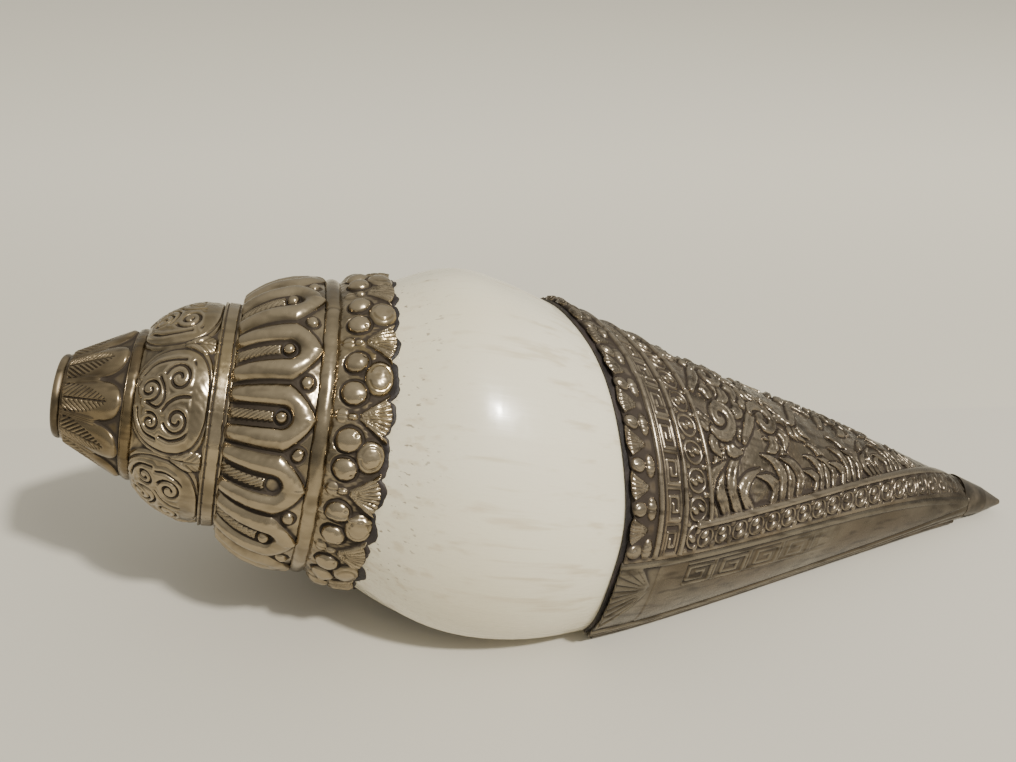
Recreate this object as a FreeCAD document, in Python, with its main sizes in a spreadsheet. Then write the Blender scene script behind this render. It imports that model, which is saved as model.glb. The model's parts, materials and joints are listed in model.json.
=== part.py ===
"""Conch trumpet: a chank shell with its apex cut off, dressed in worked sheet metal at both ends.

Every piece is designed about the shell's own coiling axis: X runs from the mouth rim to the canal's
tip, the radius is measured from that axis, and the angle round it is zero at the top, positive
towards the front and negative towards the back. The finished pieces are then laid down together in
the attitude in which the trumpet rests on a table, with the middle of its underside at the origin.
"""

import FreeCAD
import Part
import Sketcher
import math
import os

from FreeCAD import Placement, Rotation, Vector

# Driving dimensions: alias, value in millimetres or degrees, what it is.
SIZES = (
    ("sheet", 0.7, "thickness of the worked sheet metal"),
    ("bedding", 0.6, "thickness of the pitch between shell and sheet"),
    ("gap", 0.04, "clearance between the pitch and the shell's skin"),
    ("mouth_radius", 8.2, "outer radius of the mouth rim"),
    ("rim_wire", 0.9, "radius of the round wire at the mouth"),
    ("cup_flange", 6.3, "outer radius of the cup's flat lip"),
    ("cup_mouth", 5.0, "radius of the cup where the lips close it"),
    ("cup_depth", 8.0, "depth of the cup"),
    ("cup_curve", 14.0, "radius of the cup's curved side"),
    ("flange_depth", 1.4, "thickness of the cup's lip"),
    ("throat", 2.6, "radius of the blow hole"),
    ("tube_radius", 3.4, "outer radius of the blow tube"),
    ("tube_start", 9.6, "where the blow tube is soldered into the cup"),
    ("tube_end", 34.0, "where the blow tube ends inside the shell"),
    ("tube_clearance", 0.2, "radial room round the blow tube in the shell"),
    ("bore_end", 38.0, "depth of the hole drilled down the cut apex"),
    ("inlet_radius", 3.2, "radius of the opening from that hole into the air passage"),
    ("inlet_station", 34.5, "where that opening lies"),
    ("inlet_offset", 5.2, "distance of its middle from the axis"),
    ("inlet_turn", 14.0, "angle of its middle past the passage's first slice"),
    ("cone_start", 1.85, "start of the petal cone"),
    ("cone_end", 13.6, "end of the petal cone"),
    ("cone_start_radius", 7.9, "outer radius of the petal cone at the mouth"),
    ("cone_end_radius", 14.3, "outer radius of the petal cone at its base"),
    ("ring_end", 15.4, "end of the ring that covers the cone's joint"),
    ("ring_curve", 1.15, "radius of the ring's rounded face"),
    ("dome_start_radius", 14.6, "outer radius of the scroll dome at its neck"),
    ("dome_end_radius", 21.6, "outer radius of the scroll dome at its base"),
    ("dome_end", 28.8, "end of the scroll dome"),
    ("dome_curve", 18.6, "radius of the dome's swelling side"),
    ("strap_radius", 22.2, "outer radius of the flat strap"),
    ("strap_end", 32.2, "end of the flat strap"),
    ("lotus_start_radius", 22.6, "outer radius of the lotus tier at the strap"),
    ("lotus_end_radius", 28.9, "outer radius of the lotus tier at the plain band"),
    ("lotus_end", 47.2, "end of the lotus tier"),
    ("lotus_curve", 16.5, "radius of the lotus tier's swelling side"),
    ("band_radius", 29.0, "radius at the foot of the plain band"),
    ("band_end", 50.2, "end of the plain band"),
    ("band_curve", 1.65, "radius of the plain band's rounded face"),
    ("collar_start_radius", 29.1, "outer radius of the floral collar at the band"),
    ("collar_end_radius", 31.5, "outer radius of the floral collar at its free edge"),
    ("collar_end", 59.6, "free edge of the floral collar"),
    ("collar_curve", 13.2, "radius of the collar's swelling side"),
    ("scallops", 28, "scallops round the collar's free edge"),
    ("scallop_radius", 1.5, "radius of each notch between scallops"),
    ("scallop_depth", 0.7, "how far each notch's centre lies outside the free edge"),
    ("squeeze", 1.5, "how far the pitch shows past the collar's edge"),
    ("sheath_squeeze", 0.8, "how far the pitch shows past the sheath's edge"),
    ("lip_angle", 134.0, "angle of the outer lip round the axis"),
    ("dorsal_angle", -22.0, "angle of the back of the whorl"),
    ("inner_angle", -150.0, "angle of the inner lip"),
    ("sheath_end", 207.0, "where the sheath sheets end, under the tip cap"),
    ("seam_angle", 96.0, "angle of the seam between dorsal and lip sheets at their wide end"),
    ("seam_turn", 35.0, "how far that seam climbs round towards the tip"),
    ("back_seam_angle", -70.0, "angle of the seam between dorsal and columella sheets"),
    ("edge_wire", 1.0, "radius of the round wire along the sheath's free edges"),
    ("cap_start", 205.6, "start of the tip cap"),
    ("cap_start_radius", 5.6, "outer radius of the tip cap at its start"),
    ("cap_bend", 213.5, "where the tip cap starts to close"),
    ("cap_bend_radius", 3.4, "outer radius of the tip cap where it starts to close"),
    ("total_length", 220.0, "mouth plane to the end of the tip cap"),
    ("cap_nose_radius", 0.7, "radius of the blunt end of the tip cap"),
    ("wall", 3.5, "shell wall at the outer lip"),
    ("canal_wall", 4.2, "how much thicker the wall is towards the canal"),
    ("turns", 1.75, "turns of the air passage"),
    ("turn_ratio", 0.56, "size of the passage after one turn inwards"),
    ("fold_height", 1.1, "height of the folds on the columella"),
    ("flare", 46.0, "how far the passage runs straight out of the aperture"),
    ("rest_tilt", 12.1, "how far the axis dips from mouth to tip at rest"),
    ("rest_roll", -6.0, "how far the shell is rolled about its axis at rest"),
)

# The shell's outline: distance from the mouth, then the radius over the back, at the outer lip and
# at the inner lip.
OUTLINE = (
    (24.0, 16.6, 16.6, 16.6),
    (36.0, 22.8, 22.8, 22.8),
    (48.0, 27.4, 27.4, 27.4),
    (58.0, 30.3, 30.8, 30.2),
    (66.0, 34.2, 35.8, 34.4),
    (74.0, 36.4, 39.4, 36.4),
    (84.0, 35.0, 41.2, 34.4),
    (96.0, 31.5, 40.8, 29.0),
    (108.0, 28.0, 38.2, 24.4),
    (120.0, 24.9, 34.8, 20.6),
    (140.0, 19.9, 28.0, 16.2),
    (160.0, 15.6, 20.8, 12.4),
    (180.0, 10.6, 13.6, 8.4),
    (200.0, 5.0, 6.5, 4.6),
    (212.0, 2.2, 2.8, 2.0),
)
OUTLINE_COLUMNS = ("station", "back", "lip", "inner")

# Where the sheath's scalloped edge lies: angle from the top towards the front, then the distance
# from the mouth.
SHEATH_EDGE = ((-150.0, 94.5), (-40.0, 94.5), (4.0, 95.6), (32.0, 100.0), (58.0, 103.3),
               (84.0, 106.2), (104.0, 106.5), (134.0, 108.2))

# The air passage where it opens at the lip, as a slice through the axis: distance from the mouth and
# radius, down the columella side. The lip side follows the shell's outline, one wall inside it.
PASSAGE_TOP = (60.0, 26.6)
PASSAGE_END = (203.0, 2.4)
COLUMELLA_SIDE = ((66.0, 22.6), (74.0, 18.8), (84.0, 15.0), (93.0, 12.6), (126.0, 10.0), (145.0, 8.8),
                  (165.0, 6.6), (185.0, 4.2))
FOLD_STATIONS = (98.0, 106.0, 114.0)
FOLD_SPACING = 4.0
FOLD_FLOOR = 11.0

# How closely the pieces' outlines are followed when the assembly is laid on the table, in mm.
BOX_TOLERANCE = 0.03


def fill_sheet(doc):
    """Puts every driving dimension in a spreadsheet cell with an alias of its own."""
    sheet = doc.addObject("Spreadsheet::Sheet", "Sizes")
    rows = [(alias, value) for alias, value, _ in SIZES]
    for number, row in enumerate(OUTLINE):
        rows += [(f"{name}_{number}", value) for name, value in zip(OUTLINE_COLUMNS, row)]
    for line, (alias, value) in enumerate(rows, start=1):
        sheet.set(f"A{line}", alias)
        sheet.set(f"B{line}", str(value))
        sheet.setAlias(f"B{line}", alias)
    doc.recompute()
    return sheet


doc = FreeCAD.newDocument("ConchTrumpet")
cells = fill_sheet(doc)


def size(alias):
    """A driving dimension, read back from the sheet."""
    return float(cells.get(alias))


def outline(column):
    """One column of the shell's outline, read back from the sheet."""
    return [size(f"{column}_{number}") for number in range(len(OUTLINE))]


# ---------------------------------------------------------------- turned sheet-metal pieces


def new_body(label):
    body = doc.addObject("PartDesign::Body", label)
    body.Label = label
    return body


def origin_feature(body, role):
    return next(f for f in body.Origin.OriginFeatures if f.Role == role)


def new_sketch(body, role, name):
    sketch = body.newObject("Sketcher::SketchObject", name)
    sketch.AttachmentSupport = (origin_feature(body, role), [""])
    sketch.MapMode = "FlatFace"
    return sketch


def bind(sketch, constraint, expression):
    """Adds a dimensional constraint and ties it to the sheet."""
    index = sketch.addConstraint(constraint)
    sketch.setExpression(f"Constraints[{index}]", expression)


def arc_between(left, right, radius):
    """An arc from right to left, counter-clockwise, that swells away from the axis."""
    chord = right - left
    middle = (left + right) * 0.5
    drop = math.sqrt(radius**2 - (chord.Length / 2) ** 2)
    centre = middle + Vector(chord.y, -chord.x, 0).normalize() * drop
    start = math.atan2(right.y - centre.y, right.x - centre.x)
    end = math.atan2(left.y - centre.y, left.x - centre.x)
    return Part.ArcOfCircle(Part.Circle(centre, Vector(0, 0, 1), radius), start, end)


def profile(sketch, corners, curves):
    """Draws a closed outline through corners, each a pair of expressions. curves gives the radius, as
    an expression, of each side that is an arc, by the number of the corner that it starts from."""
    points = [
        Vector(*(float(sketch.evalExpression(e)) for e in corner), 0) for corner in corners
    ]
    count, ends = len(corners), []
    for number in range(count):
        here, there = points[number], points[(number + 1) % count]
        if number not in curves:
            side = sketch.addGeometry(Part.LineSegment(here, there), False)
            ends.append(((side, 1), (side, 2)))
            continue
        radius = float(sketch.evalExpression(curves[number]))
        if here.x < there.x:
            side = sketch.addGeometry(arc_between(here, there, radius), False)
            ends.append(((side, 2), (side, 1)))
        else:
            side = sketch.addGeometry(arc_between(there, here, radius), False)
            ends.append(((side, 1), (side, 2)))
        bind(sketch, Sketcher.Constraint("Radius", side, radius), curves[number])
    for number in range(count):
        sketch.addConstraint(Sketcher.Constraint("Coincident", *ends[number - 1][1], *ends[number][0]))
    for number, (along, out) in enumerate(corners):
        corner = ends[number][0]
        bind(sketch, Sketcher.Constraint("DistanceX", -1, 1, *corner, points[number].x), along)
        bind(sketch, Sketcher.Constraint("DistanceY", -1, 1, *corner, points[number].y), out)


def turned(label, corners, curves=None):
    """A body of revolution about the shell's axis."""
    body = new_body(label)
    sketch = new_sketch(body, "XZ_Plane", label + "_profile")
    profile(sketch, corners, curves or {})
    turning = body.newObject("PartDesign::Revolution", label + "_turned")
    turning.Profile = sketch
    turning.ReferenceAxis = (sketch, ["H_Axis"])
    turning.Angle = 360.0
    sketch.Visibility = False
    doc.recompute()
    return body


def cell(alias, change=""):
    return f"<<Sizes>>.{alias}{change}"


def turned_sheet(label, start, start_radius, end, end_radius, curve=None):
    """A tier of the cap: a ring of sheet metal between two stations, straight or swelling."""
    inside = " - <<Sizes>>.sheet"
    corners = (
        (cell(start), cell(start_radius)),
        (cell(end), cell(end_radius)),
        (cell(end), cell(end_radius, inside)),
        (cell(start), cell(start_radius, inside)),
    )
    curves = {0: cell(curve), 2: cell(curve)} if curve else {}
    return turned(label, corners, curves)


def half_round(label, start, start_radius, end, end_radius, curve):
    """A ring of half-round wire, flat towards the axis."""
    corners = ((cell(start), cell(start_radius)), (cell(end), cell(end_radius)))
    return turned(label, corners, {0: cell(curve)})


def mouth_rim_wire():
    """Round wire soldered round the mouth."""
    body = new_body("mouth_rim_wire")
    sketch = new_sketch(body, "XZ_Plane", "mouth_rim_section")
    radius = size("rim_wire")
    centre = Vector(radius, size("mouth_radius") - radius, 0)
    circle = sketch.addGeometry(Part.Circle(centre, Vector(0, 0, 1), radius), False)
    bind(sketch, Sketcher.Constraint("Radius", circle, radius), cell("rim_wire"))
    bind(sketch, Sketcher.Constraint("DistanceX", -1, 1, circle, 3, centre.x), cell("rim_wire", " + 0.04"))
    out = cell("mouth_radius", " - <<Sizes>>.rim_wire")
    bind(sketch, Sketcher.Constraint("DistanceY", -1, 1, circle, 3, centre.y), out)
    turning = body.newObject("PartDesign::Revolution", "mouth_rim_turned")
    turning.Profile = sketch
    turning.ReferenceAxis = (sketch, ["H_Axis"])
    turning.Angle = 360.0
    doc.recompute()
    return body


def mouth_cup():
    """Cup for the player's lips, with a short neck that takes the blow tube."""
    corners = (
        ("0", cell("cup_flange")),
        (cell("flange_depth"), cell("cup_flange")),
        (cell("cup_depth", " + 1"), cell("tube_radius")),
        (cell("tube_start"), cell("tube_radius")),
        (cell("tube_start"), cell("throat")),
        (cell("cup_depth"), cell("throat")),
        ("0", cell("cup_mouth")),
    )
    return turned("mouth_cup", corners, {5: cell("cup_curve")})


def blow_tube():
    """Tube that carries the player's breath from the cup to the drilled apex."""
    corners = (
        (cell("tube_start"), cell("tube_radius")),
        (cell("tube_end"), cell("tube_radius")),
        (cell("tube_end"), cell("throat")),
        (cell("tube_start"), cell("throat")),
    )
    return turned("blow_tube", corners)


def floral_collar():
    """Last tier of the cap, with notches cut between the scallops of its free edge."""
    body = turned_sheet(
        "floral_collar", "band_end", "collar_start_radius", "collar_end", "collar_end_radius",
        "collar_curve",
    )
    sketch = new_sketch(body, "XY_Plane", "scallop_notch")
    along = size("collar_end") + size("scallop_depth")
    notch = Part.Circle(Vector(along, 0, 0), Vector(0, 0, 1), size("scallop_radius"))
    circle = sketch.addGeometry(notch, False)
    bind(sketch, Sketcher.Constraint("Radius", circle, size("scallop_radius")), cell("scallop_radius"))
    bind(sketch, Sketcher.Constraint("DistanceX", -1, 1, circle, 3, along),
         cell("collar_end", " + <<Sizes>>.scallop_depth"))
    sketch.addConstraint(Sketcher.Constraint("PointOnObject", circle, 3, -1))
    before = body.Shape.Volume
    pocket = body.newObject("PartDesign::Pocket", "scallop_cut")
    pocket.Profile = sketch
    pocket.Type = "ThroughAll"
    doc.recompute()
    assert body.Shape.Volume < before, "the scallop's pocket cuts nothing"
    pattern = body.newObject("PartDesign::PolarPattern", "scallop_pattern")
    pattern.Originals = [pocket]
    pattern.Axis = (origin_feature(body, "X_Axis"), [""])
    pattern.Angle = 360.0
    pattern.setExpression("Occurrences", cell("scallops"))
    body.Tip = pattern
    doc.recompute()
    return body


def tip_cap():
    """Pointed cap over the end of the canal."""
    inside = " - <<Sizes>>.sheet"
    corners = (
        (cell("cap_start"), cell("cap_start_radius")),
        (cell("cap_bend"), cell("cap_bend_radius")),
        (cell("total_length"), cell("cap_nose_radius")),
        (cell("total_length"), "0"),
        (cell("total_length", " - 3 * <<Sizes>>.sheet"), "0"),
        (cell("cap_bend"), cell("cap_bend_radius", inside)),
        (cell("cap_start"), cell("cap_start_radius", inside)),
    )
    return turned("tip_cap", corners)


# ---------------------------------------------------------------- the shell's own surface


def between(stations, values, station):
    """Smooth reading of a column of the outline, by Catmull-Rom interpolation."""
    station = min(max(station, stations[0]), stations[-1])
    n = len(stations)
    i = next((k for k in range(n - 2, -1, -1) if station >= stations[k]), 0)

    def slope(k):
        a, b = max(k - 1, 0), min(k + 1, n - 1)
        return (values[b] - values[a]) / (stations[b] - stations[a])

    width = stations[i + 1] - stations[i]
    t = (station - stations[i]) / width
    return (
        values[i] * (1 + 2 * t) * (1 - t) ** 2
        + slope(i) * width * t * (1 - t) ** 2
        + values[i + 1] * t * t * (3 - 2 * t)
        - slope(i + 1) * width * t * t * (1 - t)
    )


def ease(t):
    t = min(max(t, 0.0), 1.0)
    return t * t * (3 - 2 * t)


STATIONS = outline("station")
BACK, LIP, INNER = (outline(name) for name in ("back", "lip", "inner"))


def radius_at(station, angle):
    """Radius of the shell's skin, from the inner lip over the back to the outer lip."""
    back = between(STATIONS, BACK, station)
    dorsal = size("dorsal_angle")
    if angle >= dorsal:
        share = ease((angle - dorsal) / (size("lip_angle") - dorsal))
        return back + share * (between(STATIONS, LIP, station) - back)
    share = ease((dorsal - angle) / (dorsal - size("inner_angle")))
    return back + share * (between(STATIONS, INNER, station) - back)


def polar(station, radius, angle):
    """A point from its station, radius and angle in degrees from the top towards the front."""
    turn = math.radians(angle)
    return Vector(station, -radius * math.sin(turn), radius * math.cos(turn))


def spread(low, high, count):
    return [low + (high - low) * k / (count - 1) for k in range(count)]


def curve_through(points, parameters=None):
    curve = Part.BSplineCurve()
    curve.interpolate(Points=points, Parameters=parameters or spread(0.0, 1.0, len(points)))
    return curve


def surface_through(grid, rows=None, columns=None):
    """A smooth surface through a grid of points. Neighbours that share a row of points and its
    parameters share that edge exactly."""
    rows, columns = rows or spread(0.0, 1.0, len(grid)), columns or spread(0.0, 1.0, len(grid[0]))
    across = [curve_through(row, columns) for row in grid]
    pole_rows = [curve.getPoles() for curve in across]
    along = [curve_through(list(poles), rows) for poles in zip(*pole_rows)]
    poles = [list(row) for row in zip(*(curve.getPoles() for curve in along))]
    surface = Part.BSplineSurface()
    surface.buildFromPolesMultsKnots(
        poles, along[0].getMultiplicities(), across[0].getMultiplicities(),
        along[0].getKnots(), across[0].getKnots(), False, False, 3, 3,
    )
    return surface


def tube_solid(sides, parameters=None):
    """A solid between two surfaces that share their long edges, with a flat face at each end."""
    surfaces = [surface_through(side, parameters) for side in sides]
    faces = [surface.toShape() for surface in surfaces]
    for end in (0.0, 1.0):
        rim = Part.Wire([surface.uIso(end).toShape() for surface in surfaces])
        faces.append(Part.Face(rim))
    return sewn(faces)


def sewn(faces):
    skin = Part.makeShell(faces)
    skin.sewShape()
    solid = Part.Solid(skin)
    if solid.Volume < 0:
        solid.reverse()
    return solid


def skin_section(station):
    """Closed section across the axis: round the whorl, then across the aperture's side."""
    lip, inner = size("lip_angle"), size("inner_angle")
    whorl = [polar(station, radius_at(station, a), a) for a in spread(lip, inner, 19)]
    fullness = 1.0 - 0.8 * ease((station - 58.0) / 26.0)
    across = []
    for share in spread(0.0, 1.0, 7):
        angle = inner + 360.0 + share * (lip - inner - 360.0)
        radius = radius_at(station, inner) * (1 - share) + radius_at(station, lip) * share
        round_point = polar(station, radius, angle)
        flat_point = whorl[-1] * (1 - share) + whorl[0] * share
        across.append(round_point * fullness + flat_point * (1 - fullness))
    across[0], across[-1] = whorl[-1], whorl[0]
    return whorl, across


def shell_blank():
    """The shell's outer form, solid, with the apex cut off square."""
    sections = [skin_section(station) for station in spread(STATIONS[0], STATIONS[-1], 41)]
    return tube_solid(list(zip(*sections)))


def passage_slice():
    """The air passage at the lip: its lip side and its columella side, as (station, radius)."""
    thickness = size("wall")
    lip_side = [PASSAGE_TOP]
    for station, radius in zip(STATIONS, LIP):
        if PASSAGE_TOP[0] + 4 < station < PASSAGE_END[0] - 8:
            deeper = size("canal_wall") * ease((station - 100.0) / 30.0) * min(1.0, radius / 24.0)
            lip_side.append((station, radius - thickness - deeper))
    lip_side.append(PASSAGE_END)
    folds = []
    for station in FOLD_STATIONS:
        folds += [(station, FOLD_FLOOR + size("fold_height")), (station + FOLD_SPACING, FOLD_FLOOR)]
    columella_side = sorted(COLUMELLA_SIDE + tuple(folds))
    return lip_side, [PASSAGE_TOP, *columella_side, PASSAGE_END]


def passage():
    """The coiled air passage as a solid: it starts near the cut apex, winds outwards and runs straight
    out through the aperture."""
    lip_side, columella_side = passage_slice()
    lip, turns, flare = size("lip_angle"), size("turns"), size("flare")
    step = 1.0 / 20
    coil = [turns - step * k for k in range(int(turns / step) + 1)]
    slices = [(inwards, 0.0) for inwards in coil]
    slices += [(0.0, flare * share) for share in (0.15, 0.4, 0.7, 1.0)]
    sides = []
    for side in (lip_side, columella_side):
        rows = []
        for inwards, out in slices:
            scale, angle = size("turn_ratio") ** inwards, lip - 360.0 * inwards
            along = polar(0.0, out, angle + 90.0)
            rows.append([polar(s * scale, r * scale, angle) + along for s, r in side])
        sides.append(rows)
    return tube_solid(sides)


def conch_shell(blank):
    """The natural shell: outer form less its air passage, the hole drilled for the blow tube and the
    opening between the two."""
    hole_radius = size("tube_radius") + size("tube_clearance")
    hole = Part.makeCylinder(hole_radius, size("bore_end"), Vector(0, 0, 0), Vector(1, 0, 0))
    angle = size("lip_angle") - 360.0 * size("turns") + size("inlet_turn")
    inlet = Part.makeSphere(size("inlet_radius"),
                            polar(size("inlet_station"), size("inlet_offset"), angle))
    return blank.cut([passage(), hole, inlet])


# ---------------------------------------------------------------- sheets that follow the shell


def sheath_edge(angle):
    """Station of the sheath's scalloped edge at an angle: it runs forwards towards the outer lip."""
    angles, stations = zip(*SHEATH_EDGE)
    return between(angles, stations, angle)


def seam(station):
    """Angle of the seam between the dorsal sheet and the lip sheet."""
    start, end = sheath_edge(size("lip_angle")), size("sheath_end")
    share = max(0.0, (station - start) / (end - start))
    return size("seam_angle") - size("seam_turn") * share**2


def skin_patch(low_angle, high_angle, inside, outside, early=0.0, rows=19, columns=13):
    """A sheet over the sheath's part of the shell, between two angles that may change along it, and
    between two heights above the skin."""
    wide_end = sheath_edge(size("lip_angle"))

    def point(u, v, height):
        edge_angle = low_angle(wide_end) * (1 - v) + high_angle(wide_end) * v
        start = sheath_edge(edge_angle) - early
        station = start + u * (size("sheath_end") - start)
        angle = low_angle(station) * (1 - v) + high_angle(station) * v
        return polar(station, radius_at(station, angle) + height, angle)

    lower, upper = (
        surface_through(
            [[point(u, v, height) for v in spread(0, 1, columns)] for u in spread(0, 1, rows)]
        )
        for height in (inside, outside)
    )
    walls = []
    for at in (0.0, 1.0):
        walls.append(Part.makeRuledSurface(lower.uIso(at).toShape(), upper.uIso(at).toShape()))
        walls.append(Part.makeRuledSurface(lower.vIso(at).toShape(), upper.vIso(at).toShape()))
    return sewn([lower.toShape(), upper.toShape(), *walls])


def edge_wire(angle):
    """Round wire along a free edge of the sheath, from its wide end to the tip cap."""
    radius = size("edge_wire")
    height = size("bedding") + size("sheet") / 2
    side = 1.0 if angle > 0 else -1.0

    def centre(station):
        out = radius_at(station, angle) + height
        return polar(station, out, angle + side * math.degrees(radius * 0.9 / out))

    sections = []
    for station in spread(sheath_edge(angle) + 1.0, size("cap_start") - 0.3, 14):
        along = (centre(station + 0.5) - centre(station - 0.5)).normalize()
        across = along.cross(polar(0, 1, angle)).normalize()
        rise = across.cross(along)
        turns = [math.radians(30.0 * step) for step in range(12)]
        rim = [centre(station) + (across * math.cos(t) + rise * math.sin(t)) * radius for t in turns]
        sections.append((rim[:7], rim[6:] + rim[:1]))
    return tube_solid(list(zip(*sections)))


def cap_pitch(blank):
    """Pitch that beds the cap on the shell, from the scroll dome to just past the collar."""
    inside = size("sheet") + 0.02

    def corner(station, radius, change=0.0):
        return Vector(size(station) + change, 0, size(radius) - inside)

    def arc(start, end, curve):
        radius = size(curve) - inside
        half = (end - start).Length / 2
        rise = radius - math.sqrt(radius**2 - half**2)
        chord = (end - start).normalize()
        middle = (start + end) * 0.5 + Vector(-chord.z, 0, chord.x) * rise
        return Part.Arc(start, middle, end).toShape()

    def line(start, end):
        return Part.LineSegment(start, end).toShape()

    dome = corner("ring_end", "dome_start_radius"), corner("dome_end", "dome_end_radius")
    lotus = corner("strap_end", "lotus_start_radius"), corner("lotus_end", "lotus_end_radius")
    collar = corner("band_end", "collar_start_radius"), corner("collar_end", "collar_end_radius")
    squeezed = Vector(size("collar_end") + size("squeeze"), 0, size("collar_end_radius") + 0.4)
    foot, start = Vector(squeezed.x, 0, 0), Vector(dome[0].x, 0, 0)
    edges = [
        line(start, dome[0]), arc(*dome, "dome_curve"),
        line(dome[1], lotus[0]), arc(*lotus, "lotus_curve"), line(lotus[1], collar[0]),
        arc(*collar, "collar_curve"), line(collar[1], squeezed), line(squeezed, foot),
        line(foot, start),
    ]
    face = Part.Face(Part.Wire(edges))
    filled = face.revolve(Vector(0, 0, 0), Vector(1, 0, 0), 360.0)
    core = Part.makeCylinder(size("tube_radius"), size("tube_end"), Vector(0, 0, 0), Vector(1, 0, 0))
    return max(filled.cut(blank).cut(core).Solids, key=lambda solid: solid.Volume)


def free_form(label, shape):
    """A document object for a piece whose form the shell dictates."""
    piece = doc.addObject("Part::Feature", label)
    piece.Label = label
    piece.Shape = shape
    return piece


# ---------------------------------------------------------------- assembly


def lay_down(pieces):
    """Places every piece in the resting attitude, with the underside's middle at the origin."""
    roll = Rotation(Vector(1, 0, 0), size("rest_roll"))
    tilt = Rotation(Vector(0, 1, 0), size("rest_tilt"))
    attitude = Placement(Vector(0, 0, 0), tilt.multiply(roll))
    points = [point for piece in pieces for point in piece.Shape.tessellate(BOX_TOLERANCE)[0]]
    points = [attitude.multVec(point) for point in points]
    low = Vector(*(min(point[k] for point in points) for k in range(3)))
    high = Vector(*(max(point[k] for point in points) for k in range(3)))
    attitude.Base = Vector(-(low.x + high.x) / 2, -(low.y + high.y) / 2, -low.z)
    for piece in pieces:
        piece.Placement = attitude
    return attitude


def build():
    blank = shell_blank()
    bed = size("bedding")
    top = bed + size("sheet")
    lip, inner, back = size("lip_angle"), size("inner_angle"), size("back_seam_angle")
    return [
        mouth_rim_wire(),
        mouth_cup(),
        blow_tube(),
        turned_sheet("petal_cone", "cone_start", "cone_start_radius", "cone_end", "cone_end_radius"),
        half_round("cone_ring", "cone_end", "cone_end_radius", "ring_end", "dome_start_radius",
                   "ring_curve"),
        turned_sheet("scroll_dome", "ring_end", "dome_start_radius", "dome_end", "dome_end_radius",
                     "dome_curve"),
        turned_sheet("strap_band", "dome_end", "strap_radius", "strap_end", "strap_radius"),
        turned_sheet("lotus_tier", "strap_end", "lotus_start_radius", "lotus_end",
                     "lotus_end_radius", "lotus_curve"),
        half_round("plain_band", "lotus_end", "band_radius", "band_end", "band_radius",
                   "band_curve"),
        floral_collar(),
        free_form("cap_pitch", cap_pitch(blank)),
        free_form("conch_shell", conch_shell(blank)),
        free_form("sheath_pitch", skin_patch(lambda s: inner, lambda s: lip, size("gap"), bed,
                                             size("sheath_squeeze"), 21, 19)),
        free_form("dorsal_sheath", skin_patch(lambda s: back, seam, bed, top)),
        free_form("lip_sheet", skin_patch(seam, lambda s: lip, bed, top)),
        free_form("columella_sheet", skin_patch(lambda s: inner, lambda s: back, bed, top)),
        free_form("lip_edge_wire", edge_wire(lip)),
        free_form("inner_edge_wire", edge_wire(inner)),
        tip_cap(),
    ]


def check(pieces):
    """Stops if any object failed to compute or any piece isn't a sound solid."""
    for item in doc.Objects:
        if "Invalid" in item.State or "Error" in item.State:
            raise RuntimeError(f"{item.Label} failed: {item.State}")
    for piece in pieces:
        if piece.Shape.isNull() or not piece.Shape.isValid() or not piece.Shape.Solids:
            raise RuntimeError(f"{piece.Label} has no sound solid")


def main():
    pieces = build()
    lay_down(pieces)
    doc.recompute()
    check(pieces)
    os.makedirs("parts", exist_ok=True)
    for piece in pieces:
        piece.Shape.exportStep(f"parts/{piece.Label}.step")
        print(f"{piece.Label}: {len(piece.Shape.Solids)} solid, {piece.Shape.Volume / 1000:.2f} cm3")


main()
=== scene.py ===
"""Looks of the conch trumpet: the shell, its worked silver cap and sheath, and the dark cement.

Everything is laid out in the shell's own round measure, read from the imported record's mounts and the
CAD nodes: s is the distance in millimetres from the mouth plane towards the canal's tip, r the
distance from the coiling axis, and b the angle in degrees from the top towards the front.
"""

import json
import math

import bmesh
import bpy
import numpy as np
from mathutils import Matrix, Vector
from mathutils.bvhtree import BVHTree


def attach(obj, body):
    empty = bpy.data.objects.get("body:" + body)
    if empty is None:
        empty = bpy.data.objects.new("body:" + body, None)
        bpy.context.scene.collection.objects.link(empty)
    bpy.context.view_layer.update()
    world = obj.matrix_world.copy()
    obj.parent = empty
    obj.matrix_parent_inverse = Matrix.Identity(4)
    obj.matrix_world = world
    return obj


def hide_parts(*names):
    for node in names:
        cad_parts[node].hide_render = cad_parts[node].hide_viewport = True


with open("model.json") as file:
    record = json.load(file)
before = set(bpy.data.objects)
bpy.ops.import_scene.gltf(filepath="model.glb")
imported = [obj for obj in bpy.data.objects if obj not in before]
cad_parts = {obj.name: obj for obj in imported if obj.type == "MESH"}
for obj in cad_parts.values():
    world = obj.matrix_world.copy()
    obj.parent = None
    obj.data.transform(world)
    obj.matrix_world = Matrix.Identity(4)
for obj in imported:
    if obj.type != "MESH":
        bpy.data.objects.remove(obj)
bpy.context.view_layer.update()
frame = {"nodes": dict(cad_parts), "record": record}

MM = 0.001
# Degrees to a radian and radians to a turn, as the reliefs reckon them.
RADIAN, TURN = 57.3, 6.283
# Thickness of the sheet metal, in millimetres.
SHEET = 0.7

# ---------------- the shell's own measure

MOUNTS = {m["name"]: m for m in frame["record"]["mounts"]}
OUTWARD = np.array(MOUNTS["mouth_bore"]["axis"], float)
AXIS = -OUTWARD / np.linalg.norm(OUTWARD)
BORE_POINT = np.array(MOUNTS["mouth_bore"]["pos_m"], float)
FACE_POINT = np.array(MOUNTS["mouth_face"]["pos_m"], float)
ORIGIN = BORE_POINT + AXIS * np.dot(FACE_POINT - BORE_POINT, AXIS)
TOP = (FACE_POINT - ORIGIN) / np.linalg.norm(FACE_POINT - ORIGIN)
FRONT = np.cross(AXIS, TOP)


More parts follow.
